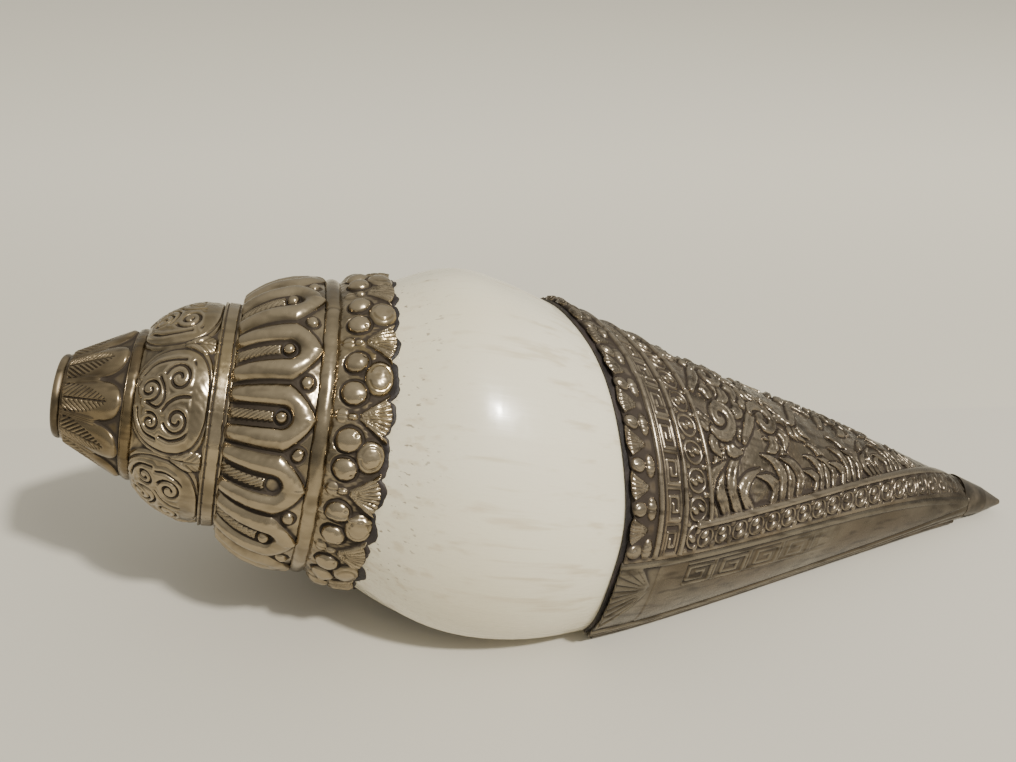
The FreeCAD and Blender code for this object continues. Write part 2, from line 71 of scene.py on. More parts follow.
def to_world(s, r, b):
    """Points in metres, with one more axis than the arrays of s, r and b."""
    s, r, b = np.broadcast_arrays(s, r, np.radians(b))
    out = np.cos(b)[..., None] * TOP + np.sin(b)[..., None] * FRONT
    return ORIGIN + MM * (s[..., None] * AXIS + r[..., None] * out)


def to_local(points):
    """s, r and b of points in metres."""
    offset = (np.asarray(points, float) - ORIGIN) / MM
    up, out = offset @ TOP, offset @ FRONT
    return offset @ AXIS, np.hypot(up, out), np.degrees(np.arctan2(out, up))


def node_measure(*names):
    """s, r and b of the vertices of CAD nodes."""
    return to_local([vertex.co for name in names for vertex in frame["nodes"][name].data.vertices])


def envelope(x, y, side):
    """The convex edge of a cloud of points: the upper one for side 1, the lower one for side -1."""
    order = np.lexsort((y * side, x))
    edge = []
    for point in zip(x[order], y[order] * side):
        while len(edge) > 1:
            (x0, y0), (x1, y1) = edge[-2:]
            if (x1 - x0) * (point[1] - y0) - (y1 - y0) * (point[0] - x0) < 0:
                break
            edge.pop()
        edge.append(point)
    edge = np.array(edge)
    return edge[:, 0], edge[:, 1] * side


def front_edge(b, s):
    """The sheets' front edge, as angles and stations: the foremost vertices in overlapping slices."""
    slice_width, slack = 3.0, 0.6
    rows = []
    for middle in np.arange(b.min() + slice_width / 2, b.max(), slice_width):
        near = np.abs(b - middle) < 1.5 * slice_width
        first = near & (s < s[near].min() + slack)
        rows.append((b[first].mean(), s[first].mean()))
    rows = np.array(rows)
    return rows[:, 0], np.convolve(np.pad(rows[:, 1], 2, mode="edge"), np.full(5, 0.2), "valid")


def seam_line(s, b):
    """Stations and angles of the dorsal sheet's lower edge, from a little behind the front edge."""
    stations, angles = envelope(s, b, 1)
    behind = stations > np.interp(angles, *EDGE_LINE) + 1.5
    return stations[behind], angles[behind]


# ---------------- smooth reading of the CAD surfaces


class Profile:
    """Outer radius of a turned CAD node, as a smooth function of s."""

    def __init__(self, node):
        s, r, _ = node_measure(node)
        self.start, self.end = s.min(), s.max()
        self.length = self.end - self.start
        stations = np.unique(np.round(s, 2))
        x = [at for at in stations if np.any(r[np.abs(s - at) < 0.02] > r.min() + 0.5)]
        y = [r[np.abs(s - at) < 0.02].max() for at in x]
        x, y = envelope(np.array(x), np.array(y), 1)
        self.fit = np.polynomial.Polynomial.fit(x, y, min(4, len(x) - 1))
        self.slope = self.fit.deriv()

    def share(self, s):
        """How far along the node a station lies, from 0 to 1."""
        return (s - self.start) / self.length

    def place(self, s, height, b):
        """World points at a height above the profile, measured square to it."""
        slope = self.slope(s)
        lean = 1.0 / np.sqrt(1.0 + slope**2)
        return to_world(s - height * slope * lean, self.fit(s) + height * lean, b)


def spline_weights(t):
    """Shares of four neighbouring samples in a smooth value between the middle two."""
    return ((1 - t) ** 3 / 6, (3 * t**3 - 6 * t**2 + 4) / 6, (-3 * t**3 + 3 * t**2 + 3 * t + 1) / 6,
            t**3 / 6)


class Skin:
    """Radius of the shell's outer skin, sampled from the CAD and read back smoothly."""

    STEP_S, STEP_B = 3.0, 7.0
    FIRST_S, LAST_S = 57.0, 210.0
    FAR, MARGIN = 80.0, 1.5

    def __init__(self, low, high):
        body = frame["nodes"]["conch_shell"]
        tree = BVHTree.FromObject(body, bpy.context.evaluated_depsgraph_get())
        self.low, high = low + self.MARGIN, high - self.MARGIN
        columns = int((high - self.low) / self.STEP_B)
        self.step_b = (high - self.low) / columns
        stations = np.arange(self.FIRST_S, self.LAST_S + 0.1, self.STEP_S)
        grid = np.zeros((len(stations), columns + 1))
        for row, station in enumerate(stations):
            for column in range(columns + 1):
                b = self.low + self.step_b * column
                start, foot = to_world(station, self.FAR, b), to_world(station, 0.0, b)
                hit = tree.ray_cast(Vector(start), Vector(foot - start).normalized())
                grid[row, column] = to_local([hit[0]])[1][0]
        self.grid = np.pad(grid, 3, mode="reflect", reflect_type="odd")

    def __call__(self, s, b):
        s, b = np.broadcast_arrays(np.asarray(s, float), np.asarray(b, float))
        u = np.clip((s - self.FIRST_S) / self.STEP_S + 3, 1.0, self.grid.shape[0] - 2.001)
        v = np.clip((b - self.low) / self.step_b + 3, 1.0, self.grid.shape[1] - 2.001)
        iu, iv = np.floor(u).astype(int), np.floor(v).astype(int)
        wu, wv = spline_weights(u - iu), spline_weights(v - iv)
        total = np.zeros(s.shape)
        for i in range(4):
            for j in range(4):
                total += wu[i] * wv[j] * self.grid[iu + i - 1, iv + j - 1]
        return total


SHEETS = ("dorsal_sheath", "lip_sheet", "columella_sheet")
sheet_s, _, sheet_b = node_measure(*SHEETS)
INNER_B, LIP_B, SHEATH_END = sheet_b.min(), sheet_b.max(), sheet_s.max()
EDGE_LINE = front_edge(sheet_b, sheet_s)
dorsal_s, _, dorsal_b = node_measure("dorsal_sheath")
SEAM_LINE, BACK_SEAM = seam_line(dorsal_s, dorsal_b), dorsal_b.min()
cap_s, cap_r, _ = node_measure("tip_cap")
CAP_START, CAP_RADIUS = cap_s.min(), cap_r.max()
skin = Skin(INNER_B, LIP_B)


def edge_station(b):
    """Where the sheath's metal starts at an angle."""
    return np.interp(b, *EDGE_LINE)


def seam_angle(s):
    """Angle of the seam between the dorsal and the lip sheet."""
    return np.interp(s, *SEAM_LINE)


# ---------------- drawing in relief


def unit(x):
    """x, held between 0 and 1."""
    return np.clip(x, 0.0, 1.0)


def smooth(x, low, high):
    """Zero up to low, one from high on, and an even step between them."""
    t = unit((x - low) / (high - low))
    return t * t * (3 - 2 * t)


def hump(d, width):
    """One at d = 0, fading smoothly to nothing at width."""
    return unit(1.0 - (d / width) ** 2) ** 2


def dome(d, radius):
    """Half-ball of unit height."""
    return np.sqrt(unit(1.0 - (d / radius) ** 2))


def over(height, ground, rise, d, radius=1.0):
    """A relief with a half-ball over it that rises from ground."""
    return np.maximum(height, ground + rise * dome(d, radius))


def lines(x, spacing, width):
    """A row of like lines; width is half of one's own, as a share of the spacing."""
    return hump((x / spacing) % 1.0 - 0.5, width)


def girth(b, r):
    """Distance round a tier from the top, in millimetres."""
    return b * r / RADIAN


def polar(centre, reach, angle):
    """The point at a distance and an angle in radians from a centre."""
    return centre[0] + reach * math.cos(angle), centre[1] + reach * math.sin(angle)


def fan_shell(x, y, size, spread, soft, step, phase, rise, groove, root):
    """A ribbed shell that opens towards +x from its hinge at (0, 0), spread degrees to either side,
    with a groove every step degrees. root is where it starts to rise and where it's whole."""
    reach, angle = np.hypot(x, y), np.degrees(np.arctan2(y, x))
    fan = smooth(spread - np.abs(angle), 0.0, soft) * smooth(reach, *root)
    return fan * (rise * np.sqrt(unit(reach / size)) - groove * lines(angle + phase, step, 0.28))


def near_line(px, py, line, reach):
    """Numbers of the points inside the box that a line and its reach fill."""
    low, high = line.min(0) - reach, line.max(0) + reach
    return np.flatnonzero((px > low[0]) & (px < high[0]) & (py > low[1]) & (py < high[1]))


def off_piece(px, py, start, end):
    """Distance of points from a straight piece of line, and how far along it they lie, from 0 to 1."""
    (x0, y0), (x1, y1) = start, end
    dx, dy = x1 - x0, y1 - y0
    t = unit(((px - x0) * dx + (py - y0) * dy) / (dx * dx + dy * dy + 1e-12))
    return np.hypot(px - x0 - t * dx, py - y0 - t * dy), t


def line_distance(x, y, polylines, reach):
    """Distance from points to the nearest of some polylines, no further than reach."""
    px, py = np.ravel(x), np.ravel(y)
    best = np.full(px.shape, reach)
    for line in polylines:
        line = np.asarray(line, float)
        near = near_line(px, py, line, reach)
        for start, end in zip(line[:-1], line[1:]):
            best[near] = np.minimum(best[near], off_piece(px[near], py[near], start, end)[0])
    return best.reshape(np.shape(x))


def stroke_height(share, width):
    """A round back with a fine vein along it, over the share of the half-width from the middle."""
    back = (0.42 + 0.34 * width) * unit(1.0 - share**2.4) ** 0.6
    return back - 0.26 * hump(share - 0.16, 0.26) * unit(width - 0.35)


def stroke_relief(x, y, strokes):
    """Height of round-backed strokes, each a line and the half-width at each of its points. Later ones
    lie over earlier ones, and a furrow runs round each."""
    far, furrow_depth, furrow_middle, furrow_width = 99.0, 0.30, 0.16, 0.26
    px, py = np.ravel(x), np.ravel(y)
    height = np.zeros(px.shape)
    for line, widths in strokes:
        line = np.asarray(line, float)
        near = near_line(px, py, line, float(np.max(widths)) + 0.5)
        share, width = np.full(len(near), far), np.ones(len(near))
        for k in range(len(line) - 1):
            distance, t = off_piece(px[near], py[near], line[k], line[k + 1])
            here = widths[k] + (widths[k + 1] - widths[k]) * t
            closer = distance / here < share
            share, width = np.where(closer, distance / here, share), np.where(closer, here, width)
        under = height[near]
        furrow = hump((share - 1.0) * width - furrow_middle, furrow_width)
        beside = under - (under + furrow_depth) * furrow
        height[near] = np.where(share < 1.0, stroke_height(share, width), beside)
    return height.reshape(np.shape(x))


def tapered(line, thick, thin, peak):
    """A stroke that swells to half-width thick at the share peak of its length and ends thin times it."""
    t = np.linspace(0.0, 1.0, len(line))
    fall = (1.0 - thin) * (np.maximum(t - peak, 0.0) / (1.0 - peak)) ** 1.4
    swell = np.where(t < peak, 0.62 + 0.38 * t / peak, 1.0 - fall)
    return line, thick * swell


def spiral(cx, cy, radius, turns, start, tail=0.22, points=26):
    """A curl that winds inwards from start degrees to the share tail of its radius; negative turns wind
    the other way."""
    t = np.linspace(0.0, 1.0, points)
    reach = radius * (1.0 - (1.0 - tail) * t)
    angle = np.radians(start + 360.0 * turns * t)
    return np.c_[cx + reach * np.cos(angle), cy + reach * np.sin(angle)]


def bend(*corners, points=14):
    """A smooth line through a few corners."""
    corners = np.asarray(corners, float)
    t = np.linspace(0, len(corners) - 1, points)
    padded = np.vstack([2 * corners[0] - corners[1], corners, 2 * corners[-1] - corners[-2]])
    i = np.minimum(t.astype(int), len(corners) - 2)
    f = (t - i)[:, None]
    p0, p1, p2, p3 = (padded[i + k] for k in range(4))
    return 0.5 * (2 * p1 + (p2 - p0) * f + (2 * p0 - 5 * p1 + 4 * p2 - p3) * f**2
                  + (3 * p1 - p0 - 3 * p2 + p3) * f**3)


def blur(grid, sigma, wrap):
    """Gaussian blur of a grid by sigma samples; the second axis may wrap round."""
    for axis in (0, 1):
        reach = max(1, int(3 * sigma[axis]))
        taps = np.exp(-0.5 * (np.arange(-reach, reach + 1) / max(sigma[axis], 0.3)) ** 2)
        taps /= taps.sum()
        pad = [(0, 0), (0, 0)]
        pad[axis] = (reach, reach)
        padded = np.pad(grid, pad, mode="wrap" if wrap and axis else "edge")
        length = grid.shape[axis]
        grid = sum(w * np.take(padded, range(k, k + length), axis) for k, w in enumerate(taps))
    return grid


def wobble(x, y, scale, seed):
    """Smooth irregularity of about unit height: sine waves in random directions, in three octaves."""
    octaves, waves, fading = 3, 3, 1.7
    draws = np.random.default_rng(seed)
    total = np.zeros(np.broadcast(x, y).shape)
    for octave in range(octaves):
        turns = TURN * 2.0**octave / scale
        for _ in range(waves):
            angle, phase = draws.uniform(0, 2 * math.pi, 2)
            along = x * math.cos(angle) + y * math.sin(angle)
            total = total + np.sin(along * turns + phase) / fading**octave
    return total / waves


# ---------------- building sheet-metal meshes


def zip_rows(a, b, close=False):
    """Faces between two rows of vertex numbers that run the same way, of any two lengths."""
    if len(a) == len(b):
        last = len(a) if close else len(a) - 1
        return [(a[k], a[(k + 1) % len(a)], b[(k + 1) % len(b)], b[k]) for k in range(last)]
    faces, i, j = [], 0, 0
    while i < len(a) - 1 or j < len(b) - 1:
        ahead = (i + 1) / (len(a) - 1) if i < len(a) - 1 else 2.0
        behind = (j + 1) / (len(b) - 1) if j < len(b) - 1 else 2.0
        if ahead <= behind:
            faces.append((a[i], a[i + 1], b[j]))
            i += 1
        else:
            faces.append((a[i], b[j + 1], b[j]))
            j += 1
    return faces


def grid_faces(first, rows, columns, wrap, flip):
    """Faces of a grid whose vertex numbers begin at first, and those numbers."""
    index = first + np.arange(rows * columns).reshape(rows, columns)
    right = np.roll(index, -1, 1) if wrap else index[:, 1:]
    left = index if wrap else index[:, :-1]
    corners = [left[:-1], right[:-1], right[1:], left[1:]]
    if flip:
        corners.reverse()
    return np.stack([c.ravel() for c in corners], 1).tolist(), index


def sheet_object(name, outer, inner, wrap, attributes):
    """A closed sheet from a grid of outer points and a grid of inner points, with a value per outer
    point for each attribute."""
    rows, columns = outer.shape[:2]
    inner_rows, inner_columns = inner.shape[:2]
    faces, top = grid_faces(0, rows, columns, wrap, False)
    under, low = grid_faces(rows * columns, inner_rows, inner_columns, wrap, True)
    faces += under
    faces += zip_rows(low[0], top[0], wrap)
    faces += zip_rows(top[-1], low[-1], wrap)
    if not wrap:
        faces += zip_rows(top[:, 0], low[:, 0])
        faces += zip_rows(low[:, -1], top[:, -1])
    points = np.vstack([outer.reshape(-1, 3), inner.reshape(-1, 3)])
    mesh = bpy.data.meshes.new(name)
    mesh.from_pydata(points.tolist(), [], [tuple(int(k) for k in f) for f in faces])
    for key, values in attributes.items():
        layer = mesh.attributes.new(key, "FLOAT", "POINT")
        layer.data.foreach_set("value", np.pad(values.ravel(), (0, len(points) - values.size)))
    mesh.update()
    turned = bmesh.new()
    turned.from_mesh(mesh)
    bmesh.ops.recalc_face_normals(turned, faces=turned.faces)
    turned.to_mesh(mesh)
    turned.free()
    mesh.shade_smooth()
    piece = bpy.data.objects.new(name, mesh)
    bpy.context.scene.collection.objects.link(piece)
    return piece


# How far around a point its near and its wide surroundings reach, in millimetres.
SURROUNDINGS = {"near": 0.5, "wide": 1.6}


def finish_worked(node, outer, inner, wrap, height, spacing, material):
    """Puts a worked sheet in the place of its plain CAD node. Each point carries how deep it lies under
    its surroundings, which the silver's tarnish and its painted shade in hollows follow."""
    depths = {key: blur(height, [reach / step for step in spacing], wrap) - height
              for key, reach in SURROUNDINGS.items()}
    piece = sheet_object(node + "_worked", outer, inner, wrap, depths)
    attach(piece, "root")
    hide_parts(node)
    piece.data.materials.append(material)


def ring(node, relief, material, rows, around, last=None):
    """A worked tier of the cap. relief gives the height at (s, b, r); last gives the stations of its
    free edge where that isn't square."""
    inner_rows, slant = 6, 1.1
    profile = Profile(node)
    b = np.linspace(-180.0, 180.0, around, endpoint=False)[None, :]
    end = np.full(b.shape, profile.end) if last is None else last(b, profile)
    s, inner_s = (profile.start + (end - profile.start) * np.linspace(0.0, 1.0, count)[:, None]
                  for count in (rows, inner_rows))
    radius = profile.fit(s)
    height = relief(s, b + 0 * s, radius, profile)
    outer, inner = profile.place(s, height, b), profile.place(inner_s, -SHEET, b)
    spacing = (profile.length * slant / rows, 2 * math.pi * radius.mean() / around)
    finish_worked(node, outer, inner, True, height, spacing, material)


# ---------------- materials


class Graph:
    """Short hand for building the node tree of a material or a world."""

    def __init__(self, owner):
        self.owner = owner
        owner.use_nodes = True
        self.tree = owner.node_tree
        self.tree.nodes.clear()

    def node(self, kind, inputs=None, **settings):
        """A new node; inputs are sockets or plain values, settings its own properties."""
        made = self.tree.nodes.new("ShaderNode" + kind)
        for key, value in settings.items():
            setattr(made, key, value)
        for key, value in (inputs or {}).items():
            self.feed(made.inputs[key], value)
        return made

    def feed(self, socket, value):
        if isinstance(value, bpy.types.NodeSocket):
            self.tree.links.new(value, socket)
        else:
            socket.default_value = value

    def dot(self, vector, direction):
        made = self.node("VectorMath", operation="DOT_PRODUCT")
        self.feed(made.inputs[0], vector)
        made.inputs[1].default_value = tuple(direction)
        return made.outputs["Value"]

    def own_axes(self, along, across):
        """The shell's own axes as a vector, stretched along and across its axis."""
        place = self.node("TexCoord").outputs["Object"]
        offset = self.node("VectorMath", operation="SUBTRACT")
        self.feed(offset.inputs[0], place)
        offset.inputs[1].default_value = tuple(ORIGIN)
        parts = [self.dot(offset.outputs[0], AXIS * along), self.dot(offset.outputs[0], TOP * across),
                 self.dot(offset.outputs[0], FRONT * across)]
        joined = self.node("CombineXYZ")
        for socket, part in zip(joined.inputs, parts):
            self.feed(socket, part)
        return joined.outputs[0]

    def station(self):
        """Distance from the mouth plane along the axis, in millimetres."""
        return self.maths("MULTIPLY", self.dot(self.own_axes(1.0, 1.0), (1.0, 0.0, 0.0)), 1.0 / MM)

    def attribute(self, name):
        return self.node("Attribute", attribute_name=name).outputs["Fac"]

    def maths(self, operation, a, b):
        made = self.node("Math", operation=operation)
        self.feed(made.inputs[0], a)
        self.feed(made.inputs[1], b)
        return made.outputs[0]

    def total(self, *terms):
        """The sum of values, each with its weight."""
        result, *others = [self.maths("MULTIPLY", value, weight) for value, weight in terms]
        for other in others:
            result = self.maths("ADD", result, other)
        return result

    def scaled(self, value, low, high, to_low=0.0, to_high=1.0):
        """A value's even step from to_low at low to to_high at high."""
        inputs = {"Value": value, "From Min": low, "From Max": high, "To Min": to_low, "To Max": to_high}
        return self.node("MapRange", inputs, interpolation_type="SMOOTHSTEP").outputs["Result"]

    def noise(self, scale, detail, roughness=0.55, vector=None):
        inputs = {"Scale": scale, "Detail": detail, "Roughness": roughness}
        place = self.node("TexCoord").outputs["Object"] if vector is None else vector
        return self.node("TexNoise", {"Vector": place, **inputs}).outputs["Fac"]

    def mix(self, factor, a, b):
        """Colour a for factor 0, colour b for factor 1."""
        made = self.node("Mix", data_type="RGBA")
        self.feed(made.inputs[0], factor)
        self.feed(made.inputs[6], a)
        self.feed(made.inputs[7], b)
        return made.outputs[2]

    def bump(self, height, strength, distance):
        inputs = {"Height": height, "Strength": strength, "Distance": distance}
        return self.node("Bump", inputs).outputs["Normal"]

    def surface(self, **inputs):
        """The finished material; a socket's name has _ where Blender's has a space."""
        sockets = {key.replace("_", " "): value for key, value in inputs.items()}
        shader = self.node("BsdfPrincipled", sockets)
        self.node("OutputMaterial", {"Surface": shader.outputs[0]})
        return self.owner


def new_material(name):
    return Graph(bpy.data.materials.new(name))


def rgb(r, g, b):
    return (r, g, b, 1.0)


# Scales of the silver's blotches, and the stations between which the sheath darkens to its tip.
CLOUDS, PATCHES, GRAIN = 140.0, 45.0, 1500.0
DARK_FROM, DARK_TO = 140.0, 205.0


def silver(name, tones, rough, streaks):
    """Aged silver: bright where it's rubbed, with a painted highlight on raised parts; black-brown in
    hollows, from tarnish and painted shade.
    tones are the rubbed and highlit, the resting, the stained, and the colour of grime, tarnish and
    painted shade; streaks is how strongly grime is drawn out along it."""
    # The last tone serves as grime along the metal, as tarnish, and as painted shade in hollows.
    bright, mid, stain, grime_and_shade = (rgb(*tone) for tone in tones)
    g = new_material(name)
    near, wide = g.attribute("near"), g.attribute("wide")
    cloud, patch, fine = g.noise(CLOUDS, 2.0), g.noise(PATCHES, 1.0), g.noise(GRAIN, 1.0)
    metal = g.mix(g.scaled(cloud, 0.35, 0.68), mid, bright)
    metal = g.mix(g.scaled(patch, 0.48, 0.72, 0.0, 0.75), metal, stain)
    # Raised points go bright: worn silver, and a painted highlight on the relief's high spots.
    rubbed_and_highlit = g.total((near, -3.5), (wide, -0.9))
    metal = g.mix(g.scaled(rubbed_and_highlit, 0.05, 0.75), metal, bright)
    drawn_out = g.noise(1.0, 1.0, 0.5, g.own_axes(45.0, 600.0))
    metal = g.mix(g.scaled(drawn_out, 0.48, 0.72, 0.0, streaks), metal, grime_and_shade)
    metal = g.mix(g.scaled(g.station(), DARK_FROM, DARK_TO, 0.0, 0.5), metal, grime_and_shade)
    # Hollows go dark: tarnish, and painted shade where the relief is recessed.
    depth = g.total((near, 5.0), (wide, 1.15), (g.maths("SUBTRACT", cloud, 0.5), 0.7))
    tarnish_and_shade = g.scaled(depth, 0.15, 1.0)
    dull = g.scaled(tarnish_and_shade, 0.0, 1.0, rough, 0.78)
    roughness = g.total((dull, 1.0), (g.maths("SUBTRACT", fine, 0.5), 0.22))
    return g.surface(Base_Color=g.mix(tarnish_and_shade, metal, grime_and_shade), Metallic=g.scaled(tarnish_and_shade, 0.2, 1.0, 1.0, 0.35),
                     Roughness=roughness, Normal=g.bump(fine, 0.10, 0.00010))


def pitch_material():
    """Black-brown cement, matt and slightly grainy."""
    g = new_material("pitch")
    grain, patch = g.noise(900.0, 2.0, 0.7), g.noise(160.0, 1.0)
    colour = g.mix(g.scaled(patch, 0.4, 0.65), rgb(0.012, 0.009, 0.009), rgb(0.035, 0.026, 0.024))
    return g.surface(Base_Color=colour, Roughness=0.62, Normal=g.bump(grain, 0.6, 0.0003))


def shell_material():
    """Polished shell: warm white, faint growth lines along the axis, stains near the metal."""
    white, cream, growth_line = rgb(0.80, 0.748, 0.59), rgb(0.74, 0.678, 0.50), rgb(0.62, 0.54, 0.38)
    worm_mark, soiled = rgb(0.24, 0.19, 0.13), rgb(0.45, 0.37, 0.27)
    g = new_material("shell")
    broad, stain = g.noise(22.0, 2.0), g.noise(60.0, 2.0)
    growth = g.noise(1.0, 3.0, 0.6, g.own_axes(28.0, 420.0))
    dashes = g.noise(1.0, 1.0, 0.5, g.own_axes(230.0, 1500.0))
    station = g.station()
    colour = g.mix(g.scaled(broad, 0.35, 0.7), white, cream)
    colour = g.mix(g.scaled(growth, 0.52, 0.72, 0.0, 0.85), colour, growth_line)
    near_cap = g.scaled(station, 62.0, 74.0, 1.0, 0.0)
    dash = g.maths("MULTIPLY", g.scaled(dashes, 0.66, 0.74), near_cap)
    colour = g.mix(g.maths("MULTIPLY", dash, 0.85), colour, worm_mark)
    dirty = g.maths("MULTIPLY", g.scaled(stain, 0.5, 0.8), g.scaled(station, 60.0, 68.0, 0.5, 0.0))
    colour = g.mix(dirty, colour, soiled)
    return g.surface(Base_Color=colour, Roughness=g.scaled(growth, 0.3, 0.7, 0.22, 0.36),
                     Normal=g.bump(growth, 0.10, 0.0004), Coat_Weight=0.3, Coat_Roughness=0.12)


def plain_silver(name, bright, dark, rough):
    """Silver on parts that carry no relief of their own."""
    g = new_material(name)
    cloud = g.noise(210.0, 3.0)
    drawn = g.noise(1.0, 1.0, 0.5, g.own_axes(160.0, 1300.0))
    return g.surface(Base_Color=g.mix(g.scaled(cloud, 0.35, 0.65), dark, bright), Metallic=0.95,
                     Roughness=g.scaled(cloud, 0.3, 0.7, rough, rough + 0.2),
                     Normal=g.bump(drawn, 0.15, 0.0001))


CAP_SILVER = silver("cap_silver", ((0.37, 0.305, 0.21), (0.20, 0.163, 0.110), (0.28, 0.213, 0.11),
                                   (0.042, 0.031, 0.021)), 0.22, 0.25)
CONE_SILVER = silver("cone_silver", ((0.27, 0.213, 0.135), (0.138, 0.105, 0.066), (0.18, 0.133, 0.07),
                                     (0.036, 0.026, 0.017)), 0.24, 0.4)
LIP_SILVER = silver("lip_silver", ((0.225, 0.197, 0.153), (0.115, 0.099, 0.075), (0.145, 0.112, 0.078),
                                   (0.036, 0.028, 0.021)), 0.30, 0.6)
SHEATH_SILVER = silver("sheath_silver", ((0.285, 0.241, 0.183), (0.150, 0.125, 0.092),
                                         (0.19, 0.142, 0.095), (0.042, 0.031, 0.023)), 0.28, 0.6)
PITCH = pitch_material()


def dress(names, material):
    """Gives CAD nodes that keep their own shape a material."""
    for name in names:
        mesh = frame["nodes"][name].data
        mesh.materials.clear()
        mesh.materials.append(material)


dress(["conch_shell"], shell_material())
dress(["cap_pitch", "sheath_pitch"], PITCH)
dress(["mouth_rim_wire", "mouth_cup", "blow_tube"],
      plain_silver("plain_cap_silver", rgb(0.24, 0.19, 0.122), rgb(0.10, 0.078, 0.05), 0.28))
dress(["lip_edge_wire", "inner_edge_wire", "tip_cap"],
      plain_silver("plain_sheath_silver", rgb(0.15, 0.125, 0.096), rgb(0.06, 0.05, 0.038), 0.32))

# ---------------- the cap's tiers


def fold(b, count, offset):
    """Position within one of count equal parts of the circle, from -0.5 to 0.5, and its number."""
    turns = (b - offset) / 360.0 * count
    number = np.round(turns)
    return turns - number, number.astype(int) % count


def nudges(seed, low, high, number, count):
    """A different small error for each of the repeats, as a hand-worked piece has."""
    return np.random.default_rng(seed).uniform(low, high, count)[number]


def uneven(s, b, r, size, scale, seed):
    """The dents and swellings of hammered sheet over a tier."""
    return size * wobble(s, girth(b, r), scale, seed)


def lap(b, angle, width):
    """The line of a tier's own lapped seam, at an angle round the axis."""
    return hump((b - angle + 180.0) % 360.0 - 180.0, width)


# For this tier and the later ones: how many repeats go round it, and the angle of one of them.
CONE_PETALS, CONE_OFFSET = 9, 66.0


def cone_relief(s, b, r, profile):
    """Upright petals with a feathered middle, and a rib between two of them."""
    ground, petal_rise, rib_rise, rim_height = -0.35, 1.15, 0.75, 0.25
    barb_depth, barb_spacing, barb_slope, vein_depth = 0.36, 0.92, 1.05, 0.42
    feather_width, feather_end = 2.7, 0.80
    t = profile.share(s)
    y, _ = fold(b, CONE_PETALS, CONE_OFFSET)
    rounding = unit((t - 0.52) / 0.45)
    half_width = 0.47 * np.sqrt(unit(1.0 - rounding**2.2)) + 1e-3
    petal = unit(1.0 - (np.abs(y) / half_width) ** 2.6) ** 0.6
    height = ground + petal_rise * petal * smooth(1.03 - t, 0.0, 0.12)
    height += rib_rise * hump(np.abs(y) - 0.5, 0.11) * smooth(0.66 - t, 0.0, 0.15)
    x, across = s - profile.start, np.abs(y) * 2 * math.pi * r / CONE_PETALS
    feather = feather_width * unit(1.0 - (t / feather_end) ** 3)
    inside = smooth(feather - across, 0.0, 0.25) * smooth(x, 0.5, 0.9)
    barb = lines(x - barb_slope * across, barb_spacing, 0.30)
    height -= barb_depth * barb * inside * smooth(across, 0.15, 0.35)
    height -= vein_depth * hump(across, 0.26) * smooth(0.78 - t, 0.0, 0.06) * smooth(x, 0.4, 0.8)
    border = unit(smooth(s, profile.end - 0.7, profile.end - 0.1) + smooth(0.8 - x, 0.0, 0.5))
    return height * (1 - 0.8 * border) + rim_height * border


def plain_relief(s, b, r, _profile):
    """Smooth metal, only a little uneven."""
    return 0.05 + uneven(s, b, r, 0.06, 5.0, 3)


MEDALLIONS, MEDALLION_OFFSET, MEDALLION_ARC = 6, 61.0, 20.0
# The curls and stems inside a medallion, in millimetres along the dome and across the medallion.
SCROLLS = [
    spiral(3.6, -1.6, 2.3, -1.35, 100.0),
    spiral(8.9, -3.6, 2.6, 1.4, 200.0),
    spiral(9.3, 3.4, 2.4, -1.4, 160.0),
    spiral(4.3, 4.4, 1.8, 1.3, 250.0),
    bend((3.2, 0.8), (5.4, 1.6), (6.6, 0.2), (6.4, -1.9), (5.4, -3.8)),
    bend((6.5, 6.6), (8.6, 6.9), (11.3, 5.6), (12.4, 2.6), (11.9, -0.6)),
    bend((2.0, -4.6), (3.9, -6.4), (6.8, -7.0), (9.6, -6.9)),
    bend((6.6, 2.0), (7.6, 0.6), (9.4, -0.4), (11.6, -0.6)),
    bend((1.5, 2.2), (2.0, 4.6), (3.4, 6.6), (5.6, 7.2)),
    bend((11.4, -6.4), (12.5, -4.4), (12.8, -2.6)),
]


def dome_relief(s, b, r, profile):
    """Round medallions full of scrolls, with a leaf where two of them part."""
    medallion_rise, ground, rim_depth = 1.00, -0.05, 0.30
    line_depth, bank_rise = 0.48, 0.20
    leaf_rise, leaf_length, leaf_width, vein_depth, barb_depth = 0.8, 3.4, 1.7, 0.25, 0.16
    t, length = profile.share(s), profile.length * 1.12
    y, number = fold(b, MEDALLIONS, MEDALLION_OFFSET)
    x, across = t * length, y * MEDALLION_ARC
    rho = (np.abs((t - 0.49) / 0.56) ** 2.5 + np.abs(y / 0.52) ** 2.5) ** 0.4
    height = ground + medallion_rise * np.sqrt(unit(1.0 - rho**3.4))
    height -= rim_depth * hump(rho - 0.90, 0.035)
    mirrored = np.where(number % 2 == 0, 1.0, -1.0)
    d = line_distance(x, across * mirrored, SCROLLS, 1.4)
    worked = smooth(0.84 - rho, 0.0, 0.05) * smooth(0.80 - t, 0.0, 0.06)
    height += worked * (bank_rise * hump(d - 0.66, 0.6) - line_depth * hump(d, 0.30))
    leaf_x, leaf_y = x - 0.80 * length, (0.5 - np.abs(y)) * MEDALLION_ARC
    leaf = unit(1.0 - (leaf_x / leaf_length) ** 2 - (leaf_y / (leaf_width + 0.22 * leaf_x)) ** 2)
    height += leaf_rise * np.sqrt(leaf) * (rho > 0.9)
    height -= vein_depth * hump(leaf_y, 0.22) * (leaf > 0.02)
    height -= barb_depth * lines(leaf_x - 1.2 * leaf_y, 1.1, 0.2) * (leaf > 0.05) * (leaf_y > 0.3)
    ends = smooth(0.05 - t, 0.0, 0.05) + smooth(t, 0.965, 1.0)
    return height * (1 - ends) + 0.1 * ends + uneven(s, b, r, 0.05, 4.0, 5)


